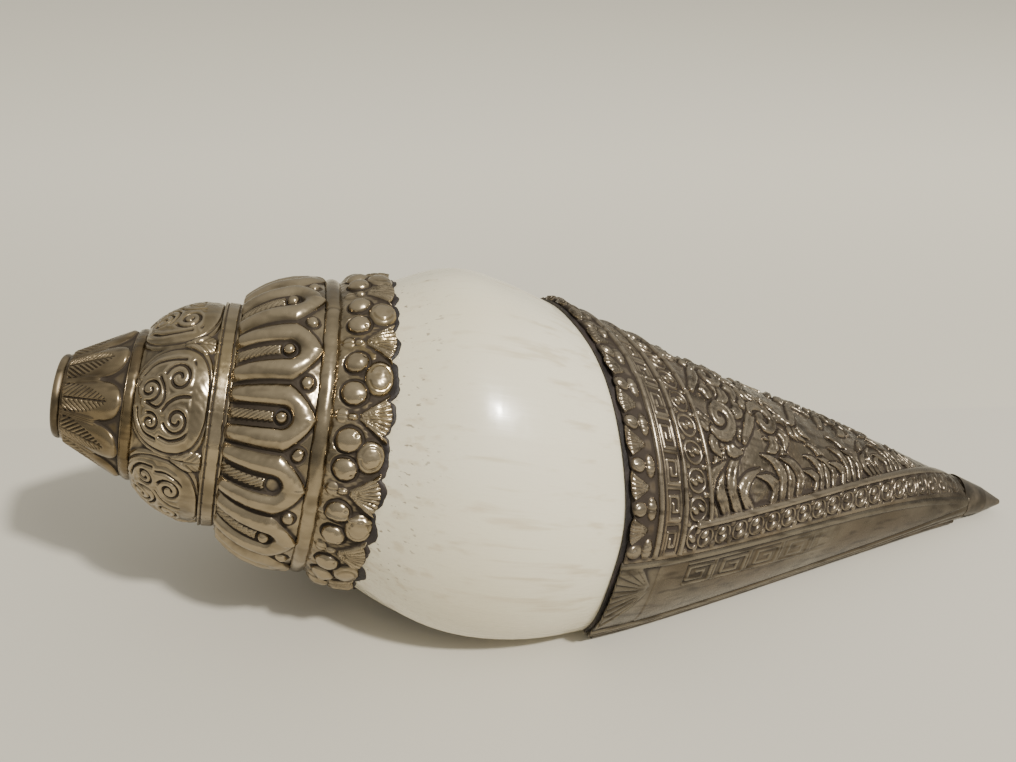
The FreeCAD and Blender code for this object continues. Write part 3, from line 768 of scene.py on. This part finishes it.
def strap_relief(s, b, r, profile):
    """A flat strap with a scored line along each edge and a few nicks."""
    line_in, line_depth, nick_spacing, nick_depth = 0.55, 0.28, 3.3, 0.16
    from_edge = np.minimum(s - profile.start, profile.end - s)
    around = girth(b, r)
    nick = lines(around + 0.66 * np.sin(around), nick_spacing, 0.05) * (from_edge < 0.9)
    height = 0.30 - line_depth * hump(from_edge - line_in, 0.24) - nick_depth * nick
    return height + uneven(0.5 * s, b, r, 0.07, 6.0, 9)


PETALS, PETAL_OFFSET, BARE_PETAL = 14, 64.0, 1


def lotus_relief(s, b, r, profile):
    """Lotus petals: a swelling border round a channel with a twisted rope and a bead in it, and a boss
    between two tips. One petal has lost its bead."""
    ground, border_rise, lip_rise, crease_rise = -0.42, 1.55, 0.25, 0.18
    channel, rope_width, rope_rise, twist_pitch, twist_depth = 1.85, 1.15, 0.95, 1.02, 0.42
    bead_radius, bead_rise, moat = 1.25, 1.35, 0.25
    gap_rise, boss_radius, boss_rise, boss_moat = 0.45, 1.25, 0.85, 0.22
    length = profile.length * 1.09
    y, number = fold(b, PETALS, PETAL_OFFSET)
    nudge = nudges(11, -1, 1, number, PETALS)
    pitch = 2 * math.pi * r / PETALS
    x = profile.share(s) * length + 0.25 * nudge
    t, across = x / length, (y + 0.012 * nudge) * pitch
    taper = unit((t - 0.66) / 0.36)
    half_width = pitch * 0.488 * (1.0 - taper**2.1) * (1.0 - 0.13 * np.sin(math.pi * taper))
    to_edge = half_width - np.abs(across)
    to_channel = np.hypot(np.maximum(x - 0.60 * length, 0.0), across) - channel
    share = unit(to_channel / np.maximum(to_channel + to_edge, 0.05))
    border = np.where((to_channel > 0) & (to_edge > 0), np.sin(math.pi * share**0.85), 0.0)
    height = ground + border_rise * border**0.62
    height += lip_rise * smooth(t, 0.72, 0.97) * smooth(to_edge, 0.0, 0.9) * (1 - border)
    height += crease_rise * hump(across, 0.35) * smooth(t, 0.80, 0.95) * smooth(to_edge, 0.1, 0.5)
    in_channel = to_channel < 0
    rope = smooth(1.12 - np.abs(across), 0.0, 0.30) * smooth(0.52 * length - x, 0.0, 0.3)
    twist = lines(x + 1.5 * across, twist_pitch, 0.36)
    height += in_channel * rope * (rope_rise * dome(across, rope_width) - twist_depth * twist)
    bead = np.hypot(x - 0.605 * length, across)
    height += in_channel * (number != BARE_PETAL) * bead_rise * dome(bead, bead_radius)
    height -= in_channel * moat * hump(bead - 1.5, 0.3)
    between = (to_edge < 0) & (t > 0.55)
    boss = np.hypot(x - 0.85 * length, (0.5 - np.abs(y)) * pitch)
    height += between * (gap_rise * smooth(t, 0.66, 0.9) + boss_rise * dome(boss, boss_radius))
    height -= between * boss_moat * hump(boss - 1.6, 0.3)
    height = height * (1 - 0.6 * smooth(0.9 - x, 0.0, 0.8))
    return height + uneven(s, b, r, 0.05, 5.0, 13)


def band_relief(s, b, r, _profile):
    """A polished band with its solder seam."""
    return 0.15 + uneven(s, b, r, 0.05, 7.0, 17) - 0.2 * lap(b, 18.0, 0.9)


GROUPS, GROUP_OFFSET, GROUP_ARC = 14, 61.0, 14.1


def collar_edge(b, profile):
    """The collar's free edge: a fan shell, then a larger boss, in turn."""
    y, number = fold(b, GROUPS, GROUP_OFFSET)
    arc = y * GROUP_ARC
    fan = 1.15 * dome(arc, 3.0)
    boss = 1.35 * dome(np.abs(arc) - GROUP_ARC / 2, 3.8)
    nudge = nudges(23, -0.3, 0.3, number, GROUPS)
    return profile.end - 0.9 + np.maximum(fan, boss) + nudge * (1 - 4 * y * y)


def collar_relief(s, b, r, profile):
    """Fan shells and large bosses along the free edge, pairs of balls and small leaves behind them."""
    hinge, fan_size, ball_x, ball_y, ball_radius = 4.0, 5.6, 3.2, 4.2, 2.35
    sunk = -0.30
    y, number = fold(b, GROUPS, GROUP_OFFSET)
    pitch = 2 * math.pi * r / GROUPS
    nudge = nudges(29, -1, 1, number, GROUPS)
    arc = y * pitch + 0.25 * nudge
    half, x = np.abs(arc), s - profile.start
    height = 0.12 + 0.20 * smooth(2.2 - x, 0.0, 1.6) + 0.10 * wobble(x, arc, 3.4, 37)
    height += fan_shell(x - hinge, arc, fan_size, spread=41.0, soft=6.0, step=9.0, phase=45.0, rise=1.25,
                        groove=0.30, root=(0.3, 1.2))
    boss = np.hypot((x - profile.length + 2.1) / 2.75, (half - pitch / 2) / 3.35)
    height = over(height, sunk, 1.75, boss)
    height -= 0.20 * hump(boss - 0.62, 0.10) * (half < pitch / 2 - 0.4)
    ball = np.hypot(x - ball_x, half - ball_y) * (1.0 + 0.06 * nudge)
    height = over(height, sunk, 1.70, ball, ball_radius)
    height -= 0.35 * hump(ball - 2.3, 0.35) * (boss > 1.0)
    height -= 0.30 * hump(np.hypot(x - 4.5, half - 3.3), 0.45)
    knot = np.hypot((x - 3.3) / 1.1, arc / 0.75)
    height = over(height, sunk, 1.1, knot)
    leaf = np.hypot((x - 1.5) / 1.3, arc / 1.5)
    height = over(height, -0.2, 0.85, leaf)
    height -= 0.2 * hump(arc, 0.2) * (leaf < 1.0)
    return height + uneven(s, b, r, 0.05, 3.0, 31) + 0.35 * lap(b, 96.0, 1.2)


def build_cap():
    ring("petal_cone", cone_relief, CONE_SILVER, 84, 640)
    ring("cone_ring", plain_relief, CONE_SILVER, 14, 360)
    ring("scroll_dome", dome_relief, CAP_SILVER, 120, 760)
    ring("strap_band", strap_relief, CAP_SILVER, 26, 560)
    ring("lotus_tier", lotus_relief, CAP_SILVER, 108, 880)
    ring("plain_band", band_relief, CAP_SILVER, 20, 420)
    ring("floral_collar", collar_relief, CAP_SILVER, 72, 1200, last=collar_edge)


def build_pitch_edge():
    """The uneven line of cement squeezed out between the collar and the shell."""
    hidden, width, swelling, sunk = 1.3, 2.3, 0.55, 0.6
    profile = Profile("floral_collar")
    b = np.linspace(-180.0, 180.0, 540, endpoint=False)[None, :]
    around = b * 0.55
    start = collar_edge(b, profile) - hidden
    end = start + width + 0.45 * wobble(around, 0 * around, 9.0, 61)
    share = np.linspace(0.0, 1.0, 9)[:, None]
    s = start + (end - start) * share
    radius = np.maximum(skin(s, np.clip(b, INNER_B, LIP_B)), profile.fit(s) - 1.0)
    swell = swelling * np.sin(math.pi * share) ** 0.5 + 0.12 * wobble(s, around, 3.0, 67)
    outer = to_world(s, radius + swell - 0.15, b)
    inner = to_world(s[[0, -1]], radius[[0, -1]] - sunk, b)
    piece = sheet_object("pitch_edge", outer, inner, True, {"near": np.zeros(outer.shape[:2])})
    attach(piece, "root")
    piece.data.materials.append(PITCH)


build_cap()
build_pitch_edge()

# ---------------- the sheath

# From the shell's skin to the metal's ground.
SKIN_TO_METAL = 1.3
# Bands of the dorsal sheet, in millimetres back from its front edge: each starts where the last ends.
RIDGE_ONE, KEY_START, KEY_END, ROUNDEL_START, ROUNDEL_END, RIDGE_THREE = 6.2, 7.6, 12.1, 13.3, 18.3, 19.5
# Bands along the seam, in millimetres up from it.
FOOT_START, FOOT_RIDGE, FOOT_END = 0.7, 5.1, 6.6
KEY_PITCH, ROUNDEL_PITCH, FOOT_PITCH = 6.6, 5.6, 4.3
# A usual station, radius and angle of the sheath's front edge, for lengths along its first bands.
FRONT_STATION, FRONT_RADIUS, FRONT_MIDDLE = 97.0, 33.0, 60.0


def arc_length(s, b, start):
    """Distance round the shell from a start angle, in millimetres."""
    return (b - start) * skin(s, b) * math.pi / 180.0


def border_along(b):
    """Distance along the sheath's first bands, for a round of the usual radius."""
    return (b - FRONT_MIDDLE) * FRONT_RADIUS * math.pi / 180.0


BORDER_PITCH, BORDER_HINGE = 7.4, 4.7


def border_cell(along):
    """Distance from the middle of the nearest fan of the sheath's border, along the edge."""
    return along - np.round(along / BORDER_PITCH) * BORDER_PITCH


def border_scallop(along):
    """How far the free edge steps back between the fans and the bosses of the border."""
    y = np.abs(border_cell(along))
    return 1.1 * (1.0 - np.maximum(dome(y, 2.5), 0.85 * dome(y - BORDER_PITCH / 2, 1.5)))


def border_relief(x, along):
    """The sheath's first border: fan shells, bosses and leaves in turn, x back from the edge."""
    y = border_cell(along)
    height = -0.12 + fan_shell(BORDER_HINGE - x, y, 4.8, spread=33.0, soft=5.0, step=10.3, phase=36.0,
                               rise=1.05, groove=0.30, root=(0.3, 1.0))
    half = BORDER_PITCH / 2 - np.abs(y)
    boss = np.hypot((x - 1.9) / 1.75, half / 1.45)
    height = over(height, -0.2, 1.20, boss)
    height -= 0.20 * hump(boss - 0.50, 0.12) * (half > 0.2)
    leaf = np.hypot((x - 4.75) / 1.25, half / 2.15)
    height = over(height, -0.2, 0.90, leaf)
    height -= 0.22 * hump(half, 0.20) * (leaf < 1.0) + 0.15 * hump(half - 1.1, 0.18) * (leaf < 0.9)
    return height * (1 - 0.5 * smooth(0.9 - x, 0.0, 0.9))


def key_lines(width, length, bar):
    """One unit of a squared spiral band, as polylines over (0..width, 0..length)."""
    inset = 0.55
    w, h = width - 2 * inset, length - bar
    steps = [(0.0, 0.0), (w, 0.0), (w, h), (0.20 * w, h), (0.20 * w, 0.27 * h), (0.78 * w, 0.27 * h),
             (0.78 * w, 0.76 * h), (0.44 * w, 0.76 * h), (0.44 * w, 0.52 * h)]
    squared = [(inset + x, bar * 0.75 + y) for x, y in steps]
    return [squared, [(inset, 0.0), (width - inset, 0.0)], [(inset, h + bar * 0.9), (inset, 0.2)]]


def key_relief(x, along, width, pitch, rise=0.45):
    """A band of squared spirals, x across the band."""
    bar, ground = 0.9, -0.22
    d = line_distance(x, (along / pitch) % 1.0 * pitch, key_lines(width, pitch, bar), 0.9)
    return ground + rise * (1.0 - smooth(d, 0.16, 0.40))


def roundel_relief(x, along, width, pitch):
    """A band of oval roundels, each with two raised lobes, and a pellet in each corner."""
    ground, ring_rise, lobe_rise, pellet_rise = -0.30, 0.50, 0.80, 0.55
    u, y = x - width / 2, along - np.round(along / pitch) * pitch
    rho = np.hypot(u / (width * 0.46), y / (pitch * 0.46))
    height = ground + ring_rise * hump(rho - 0.88, 0.17)
    for side in (-1, 1):
        lobe = np.hypot((u - side * 0.75) / 0.95, (y + side * 0.55 - 0.35 * u) / 0.85)
        height = over(height, ground, lobe_rise, lobe)
    corner = np.hypot(np.abs(u) - width / 2 + 0.5, pitch / 2 - np.abs(y))
    return over(height, ground, pellet_rise, corner, 0.75)


def ridge(x, low, high, height=0.75):
    """A smooth round ridge between two lines."""
    return height * dome(x - (low + high) / 2, (high - low) / 2)


def scaled_bend(x, y, size, side, corners, points):
    """A bend whose corners are given for size 1; side -1 mirrors it."""
    return bend(*[(x + u * size, y + side * v * size) for u, v in corners], points=points)


def flame_group(x, y, size, side):
    """A leaf of flame-like lobes that rise from (x, y) one behind the other and curl over one way."""
    strokes = []
    for k, reach in enumerate((0.55, 0.92, 1.22, 0.78)):
        foot = x + (1.5 - k) * 0.255 * side * size
        corners = ((0.0, 0.0), (-0.15 * side, 0.42 * reach), (0.02 * side, 0.80 * reach),
                   (0.34 * side, 0.99 * reach))
        strokes.append(tapered(scaled_bend(foot, y, size, 1, corners, 16), 0.150 * size, 0.12, 0.35))
    return strokes


def scroll_group(x, y, size, side):
    """A thick spiral with broad lobes round its outer side and a stem that runs on."""
    start, curl_radius = 150.0 * side, 0.40 * size
    curl = spiral(x, y, curl_radius, -side * 1.15, start, 0.22, 24)
    stem = bend((x - 0.95 * size, y - side * 0.34 * size), (x - 0.62 * size, y - side * 0.05 * size),
                tuple(curl[0]), points=10)
    strokes = [tapered(stem, 0.150 * size, 0.9, 0.5)]
    for k in range(6):
        turn = math.radians(start - side * (46.0 * k + 14.0))
        reach = size * (0.46 - 0.025 * abs(k - 2))
        root = polar((x, y), curl_radius, turn)
        middle = polar(root, 0.55 * reach, turn - side * 0.1)
        tip = polar(root, reach, turn - side * 0.75)
        strokes.append(tapered(bend(root, middle, tip, points=8), 0.155 * size, 0.25, 0.40))
    strokes.append(tapered(curl, 0.140 * size, 0.7, 0.15))
    return strokes


def ribbon_group(x, y, size, side):
    """A long ribbon that winds like an S, with flame-like lobes on its outer bends."""
    strokes = []
    for middle, way in ((-0.42, 1), (0.42, -1)):
        for k in range(3):
            foot, reach = middle + 0.20 * (k - 1), way * (0.50 - 0.06 * abs(k - 1))
            corners = ((foot, way * 0.30), (foot - 0.05, way * 0.30 + 0.55 * reach),
                       (foot + 0.16, way * 0.30 + reach))
            strokes.append(tapered(scaled_bend(x, y, size, side, corners, 8), 0.115 * size, 0.15, 0.35))
    winding = ((-0.92, -0.22), (-0.44, 0.30), (0.0, 0.0), (0.44, -0.30), (0.88, 0.12))
    strokes.append(tapered(scaled_bend(x, y, size, side, winding, 26), 0.105 * size, 0.35, 0.45))
    return strokes


# The foliage panel's length at its foot, how much shorter each millimetre upwards makes it, how far
# the leaves along the foot go, the rows above them, and how sizes fall off along the panel.
PANEL_LENGTH, PANEL_SLOPE, FLAMES_LENGTH = 86.0, 1.1, 74.0
ROWS, FIRST_ROW, ROW_SPACING, ROW_DIP = 7, 18.4, 11.0, 0.09
FLAME_SIZE, FLAME_SHRINK, GROUP_SIZE, GROUP_SHRINK = 11.0, 0.072, 10.4, 0.055


def foliage():
    """Strokes of the panel's drawing, in millimetres back from the last ridge and up from the lower one:
    leaves that rise from the foot, and rows of spirals and ribbons above them. All shrink towards the
    tip."""
    strokes = []
    draws = np.random.default_rng(5)
    x = 5.0
    while x < FLAMES_LENGTH:
        size = (FLAME_SIZE - FLAME_SHRINK * x) * draws.uniform(0.85, 1.2)
        side = -1 if draws.random() < 0.6 else 1
        strokes += flame_group(x, 0.2, size, side)
        x += 1.22 * size
    for row in range(ROWS):
        y = FIRST_ROW + row * ROW_SPACING
        x = 6.6 + (row % 2) * 5.0
        while x < PANEL_LENGTH - PANEL_SLOPE * y:
            size = GROUP_SIZE - GROUP_SHRINK * x
            side = 1 if draws.random() < 0.5 else -1
            group, step = (ribbon_group, 1.75) if draws.random() < 0.55 else (scroll_group, 1.35)
            strokes += group(x, y - ROW_DIP * x + draws.uniform(-1.2, 1.2), size, side)
            x += step * size
    return strokes


FOLIAGE = foliage()


def panel_relief(u, v):
    """Foliage over u millimetres back from the last ridge and v millimetres up from the lower ridge."""
    stipple = lines(u, 1 / 1.1, 0.3) * lines(v, 1 / 1.1, 0.3)
    ground = -0.38 + 0.10 * wobble(u, v, 3.2, 41) - 0.06 * stipple
    return ground + stroke_relief(u, v, FOLIAGE)


def sheath_height(s, b, lower_band):
    """Height of the dorsal sheet's relief. lower_band is the distance from the seam, in millimetres."""
    x, along = s - edge_station(b), border_along(b)
    bands = (
        (RIDGE_ONE, border_relief(x, along)),
        (KEY_START, ridge(x, RIDGE_ONE, KEY_START)),
        (KEY_END, key_relief(x - KEY_START, along, KEY_END - KEY_START, KEY_PITCH)),
        (ROUNDEL_START, ridge(x, KEY_END, ROUNDEL_START)),
        (ROUNDEL_END, roundel_relief(x - ROUNDEL_START, along, ROUNDEL_END - ROUNDEL_START,
                                     ROUNDEL_PITCH)),
        (RIDGE_THREE, ridge(x, ROUNDEL_END, RIDGE_THREE)),
    )
    panel = panel_relief(x - RIDGE_THREE, lower_band - FOOT_END)
    height = np.select([x < end for end, _ in bands], [band for _, band in bands], panel)
    in_foot = x > ROUNDEL_START + 2.5
    foot_ridge = ridge(lower_band, FOOT_RIDGE, FOOT_END, 0.9)
    height = np.where(in_foot & (lower_band < FOOT_END) & (lower_band > FOOT_RIDGE), foot_ridge, height)
    roundels = roundel_relief(lower_band - FOOT_START, s, FOOT_RIDGE - FOOT_START, FOOT_PITCH)
    height = np.where(in_foot & (lower_band < FOOT_RIDGE), roundels, height)
    height = np.where(lower_band < FOOT_START, 0.15, height)
    fade = 0.3 + 0.7 * smooth(SHEATH_END - s, 0.0, 6.0)
    return height * fade * shrink(s, b, 0.35)


def shrink(s, b, least):
    """How much lower the relief gets as the sheath narrows."""
    return np.clip(skin(s, b) / 14.0, least, 1.0)


def lip_height(s, b, band):
    """The lip sheet: a shallow key border that fades towards the tip, a fan at the wide end and ridges
    along both edges. band is the distance from the seam."""
    key_low, key_width, key_pitch, key_from, key_fades, key_end = 1.6, 6.4, 8.6, 16.0, 122.0, 168.0
    hinge_x, hinge_y, fan_end, rim_end = 8.5, 7.0, 9.2, 3.8
    x, rim = s - edge_station(b), -arc_length(s, b, LIP_B)
    key = key_relief(band - key_low, s, key_width, key_pitch, 0.42) + 0.1
    on_key = (band > key_low) & (band < key_low + key_width) & (x > key_from) & (s < key_end)
    height = np.where(on_key, key * (1.0 - smooth(s, key_fades, key_end)), 0.0)
    height += ridge(band, 0.2, 1.5, 0.35)
    height += ridge(rim, 0.6, 1.7, 0.5) + ridge(rim, 2.0, 3.1, 0.4) - 0.3 * hump(rim - 3.5, 0.35)
    fan_x, fan_y = hinge_x - x, band - hinge_y
    groove = 0.25 * smooth(np.hypot(fan_x, fan_y), 1.5, 4.0)
    fan = fan_shell(fan_x, fan_y, 8.5, spread=62.0, soft=9.0, step=11.0, phase=0.0, rise=0.75,
                    groove=groove, root=(0.4, 1.6))
    height = np.where((x < fan_end) & (rim > rim_end) & (band > 1.5), fan - 0.15, height)
    return height * shrink(s, b, 0.3)


def back_height(s, b, _band):
    """The columella sheet: plain metal with a ridge along each edge and a few chased lines."""
    line_spacing, line_depth = 5.0, 0.18
    x, rim, along = s - edge_station(b), arc_length(s, b, INNER_B), arc_length(s, b, -110.0)
    height = ridge(x, RIDGE_ONE, KEY_START) + ridge(x, KEY_END, ROUNDEL_START, 0.5)
    height = height + ridge(rim, 1.0, 2.2, 0.5)
    height = np.where(x < RIDGE_ONE, border_relief(x, border_along(b)), height)
    height -= line_depth * lines(along, line_spacing, 0.08) * (x > ROUNDEL_START + 1)
    return height + 0.05 * wobble(s, along, 6.0, 51)


def cap_seat(s, b):
    """How far a sheet swells to meet the tip cap's round edge."""
    room = np.maximum(CAP_RADIUS - 0.30 - SKIN_TO_METAL - skin(s, b), 0.0)
    return room * smooth(s, CAP_START - 4.5, CAP_START - 1.0) * smooth(CAP_START + 0.9 - s, 0.0, 0.9)


def from_seam(s, b):
    """Distance from the seam between the dorsal and the lip sheet, in millimetres."""
    return np.abs(arc_length(s, b, seam_angle(s)))


def constant(value):
    """An edge that keeps to one angle."""
    return lambda s: np.full(np.shape(s), float(value))


# How far back the free edge's scallops die out, how deep a sheet's underside is sunk into the cement,
# and the underside's rows and columns.
SCALLOP_REACH, SUNK, COARSE = 4.0, 0.45, (24, 24)


def sheet_measure(low, high, scallop, share, v):
    """Stations and angles at shares of a sheet's length and width. The front edge isn't square, so the
    two are brought together in a few rounds."""
    s = edge_station(INNER_B) + (SHEATH_END - edge_station(INNER_B)) * share + 0 * v
    for _ in range(4):
        start = edge_station(low(s) + (high(s) - low(s)) * v)
        s = start + (SHEATH_END - start) * share
    b = low(s) + (high(s) - low(s)) * v
    return s + scallop * border_scallop(border_along(b)) * unit(1.0 - (s - start) / SCALLOP_REACH), b


def sheet(node, edges, scallop, relief, material, *counts):
    """A worked sheet over the shell between two edges given as angles at each station."""
    fine, coarse = (np.ogrid[0:1:rows * 1j, 0:1:columns * 1j] for rows, columns in (counts, COARSE))
    s, b = sheet_measure(*edges, scallop, *fine)
    height = relief(s, b, from_seam(s, b)) + cap_seat(s, b)
    outer = to_world(s, skin(s, b) + SKIN_TO_METAL + height, b)
    inner_s, inner_b = sheet_measure(*edges, scallop, *coarse)
    inner = to_world(inner_s, skin(inner_s, inner_b) + SKIN_TO_METAL - SHEET - SUNK, inner_b)
    width = np.mean(skin(s, b) * np.radians(edges[1](s) - edges[0](s)))
    spacing = ((SHEATH_END - FRONT_STATION) / counts[0], float(width) / counts[1])
    finish_worked(node, outer, inner, False, height, spacing, material)


def build_sheath():
    back, lip, inner = constant(BACK_SEAM), constant(LIP_B), constant(INNER_B)
    sheet("dorsal_sheath", (back, seam_angle), 1.3, sheath_height, SHEATH_SILVER, 520, 480)
    sheet("lip_sheet", (seam_angle, lip), 0.0, lip_height, LIP_SILVER, 420, 110)
    sheet("columella_sheet", (inner, back), 1.0, back_height, SHEATH_SILVER, 300, 260)


build_sheath()

# ---------------- studio

SCENE = bpy.context.scene
# The table's far edge, in metres behind the object, and how much it runs askew.
TABLE_EDGE, TABLE_SKEW = 0.062, 0.085
FLOOR_REACH = 4.0


def paper():
    """Pale table and, past its far edge, a wall painted on the floor, with painted light that makes it
    lighter further back.
    """
    g = new_material("table")
    place = g.node("TexCoord").outputs["Object"]
    away = g.dot(place, (TABLE_SKEW, 1.0, 0.0))
    table = g.mix(g.scaled(g.noise(3.0, 0.0), 0.3, 0.7), rgb(0.60, 0.57, 0.50), rgb(0.58, 0.55, 0.48))
    # Painted light: past the table edge the wall tone brightens with distance, standing in for a wall lit
    # more strongly higher up.
    painted_wall_light = g.scaled(away, TABLE_EDGE, TABLE_EDGE + 0.30)
    wall = g.mix(painted_wall_light, rgb(0.625, 0.594, 0.51), rgb(0.80, 0.765, 0.665))
    beyond = g.scaled(away, TABLE_EDGE - 0.001, TABLE_EDGE + 0.001)
    return g.surface(Base_Color=g.mix(beyond, table, wall), Roughness=0.85)


def build_floor():
    bpy.ops.mesh.primitive_plane_add(size=2 * FLOOR_REACH)
    floor = bpy.context.object
    floor.name = "floor"
    floor.data.materials.append(paper())


def area_light(name, place, aim, size, power, colour):
    data = bpy.data.lights.new(name, "AREA")
    data.shape, data.size, data.energy, data.color = "DISK", size, power, colour
    lamp = bpy.data.objects.new(name, data)
    lamp.location = place
    lamp.rotation_euler = (Vector(aim) - Vector(place)).to_track_quat("-Z", "Y").to_euler()
    SCENE.collection.objects.link(lamp)


# The way in which the soft light grows, its strength at both ends and its colour.
SKY_WAY, SKY_DIM, SKY_BRIGHT, SKY_COLOUR = (0.30, -0.05, 0.95), 0.30, 0.84, rgb(0.94, 0.908, 0.81)


def build_world():
    """Soft even light that is strongest from above."""
    SCENE.world = bpy.data.worlds.new("world")
    g = Graph(SCENE.world)
    height = g.dot(g.node("TexCoord").outputs["Generated"], SKY_WAY)
    strength = g.node("MapRange", {"Value": height, "From Min": -0.6, "From Max": 0.9,
                                   "To Min": SKY_DIM, "To Max": SKY_BRIGHT})
    sky = g.node("Background", {"Color": SKY_COLOUR, "Strength": strength.outputs[0]})
    g.node("OutputWorld", {"Surface": sky.outputs[0]})


# The camera is turned by three angles in degrees. OFFSET is its place from the axis' middle, in
# millimetres to its own right, upwards and backwards.
AZIMUTH, ELEVATION, ROLL = -10.44, 28.54, 1.59
AXIS_MIDDLE, OFFSET = 110.0, (-18.39, 16.62, 212.2)
LENS, SENSOR = 33.6614, 36.0


def place_camera():
    turn = Matrix.Identity(3)
    for angle, axis in ((AZIMUTH, "Z"), (90.0 - ELEVATION, "X"), (ROLL, "Z")):
        turn = turn @ Matrix.Rotation(math.radians(angle), 3, axis)
    place = Vector(to_world(AXIS_MIDDLE, 0.0, 0.0)) + MM * (turn @ Vector(OFFSET))
    data = bpy.data.cameras.new("camera")
    data.sensor_width, data.lens, data.clip_start = SENSOR, LENS, 0.01
    camera = bpy.data.objects.new("camera", data)
    camera.matrix_world = Matrix.Translation(place) @ turn.to_4x4()
    SCENE.collection.objects.link(camera)
    SCENE.camera = camera


build_floor()
build_world()
area_light("key", (0.43, -0.67, 1.03), (0, 0, 0.02), size=0.09, power=18.0, colour=(1.0, 0.965, 0.88))
area_light("glow", (0.58, -0.91, 1.41), (0, 0, 0.03), size=0.4, power=3.0, colour=(1.0, 0.97, 0.92))
place_camera()
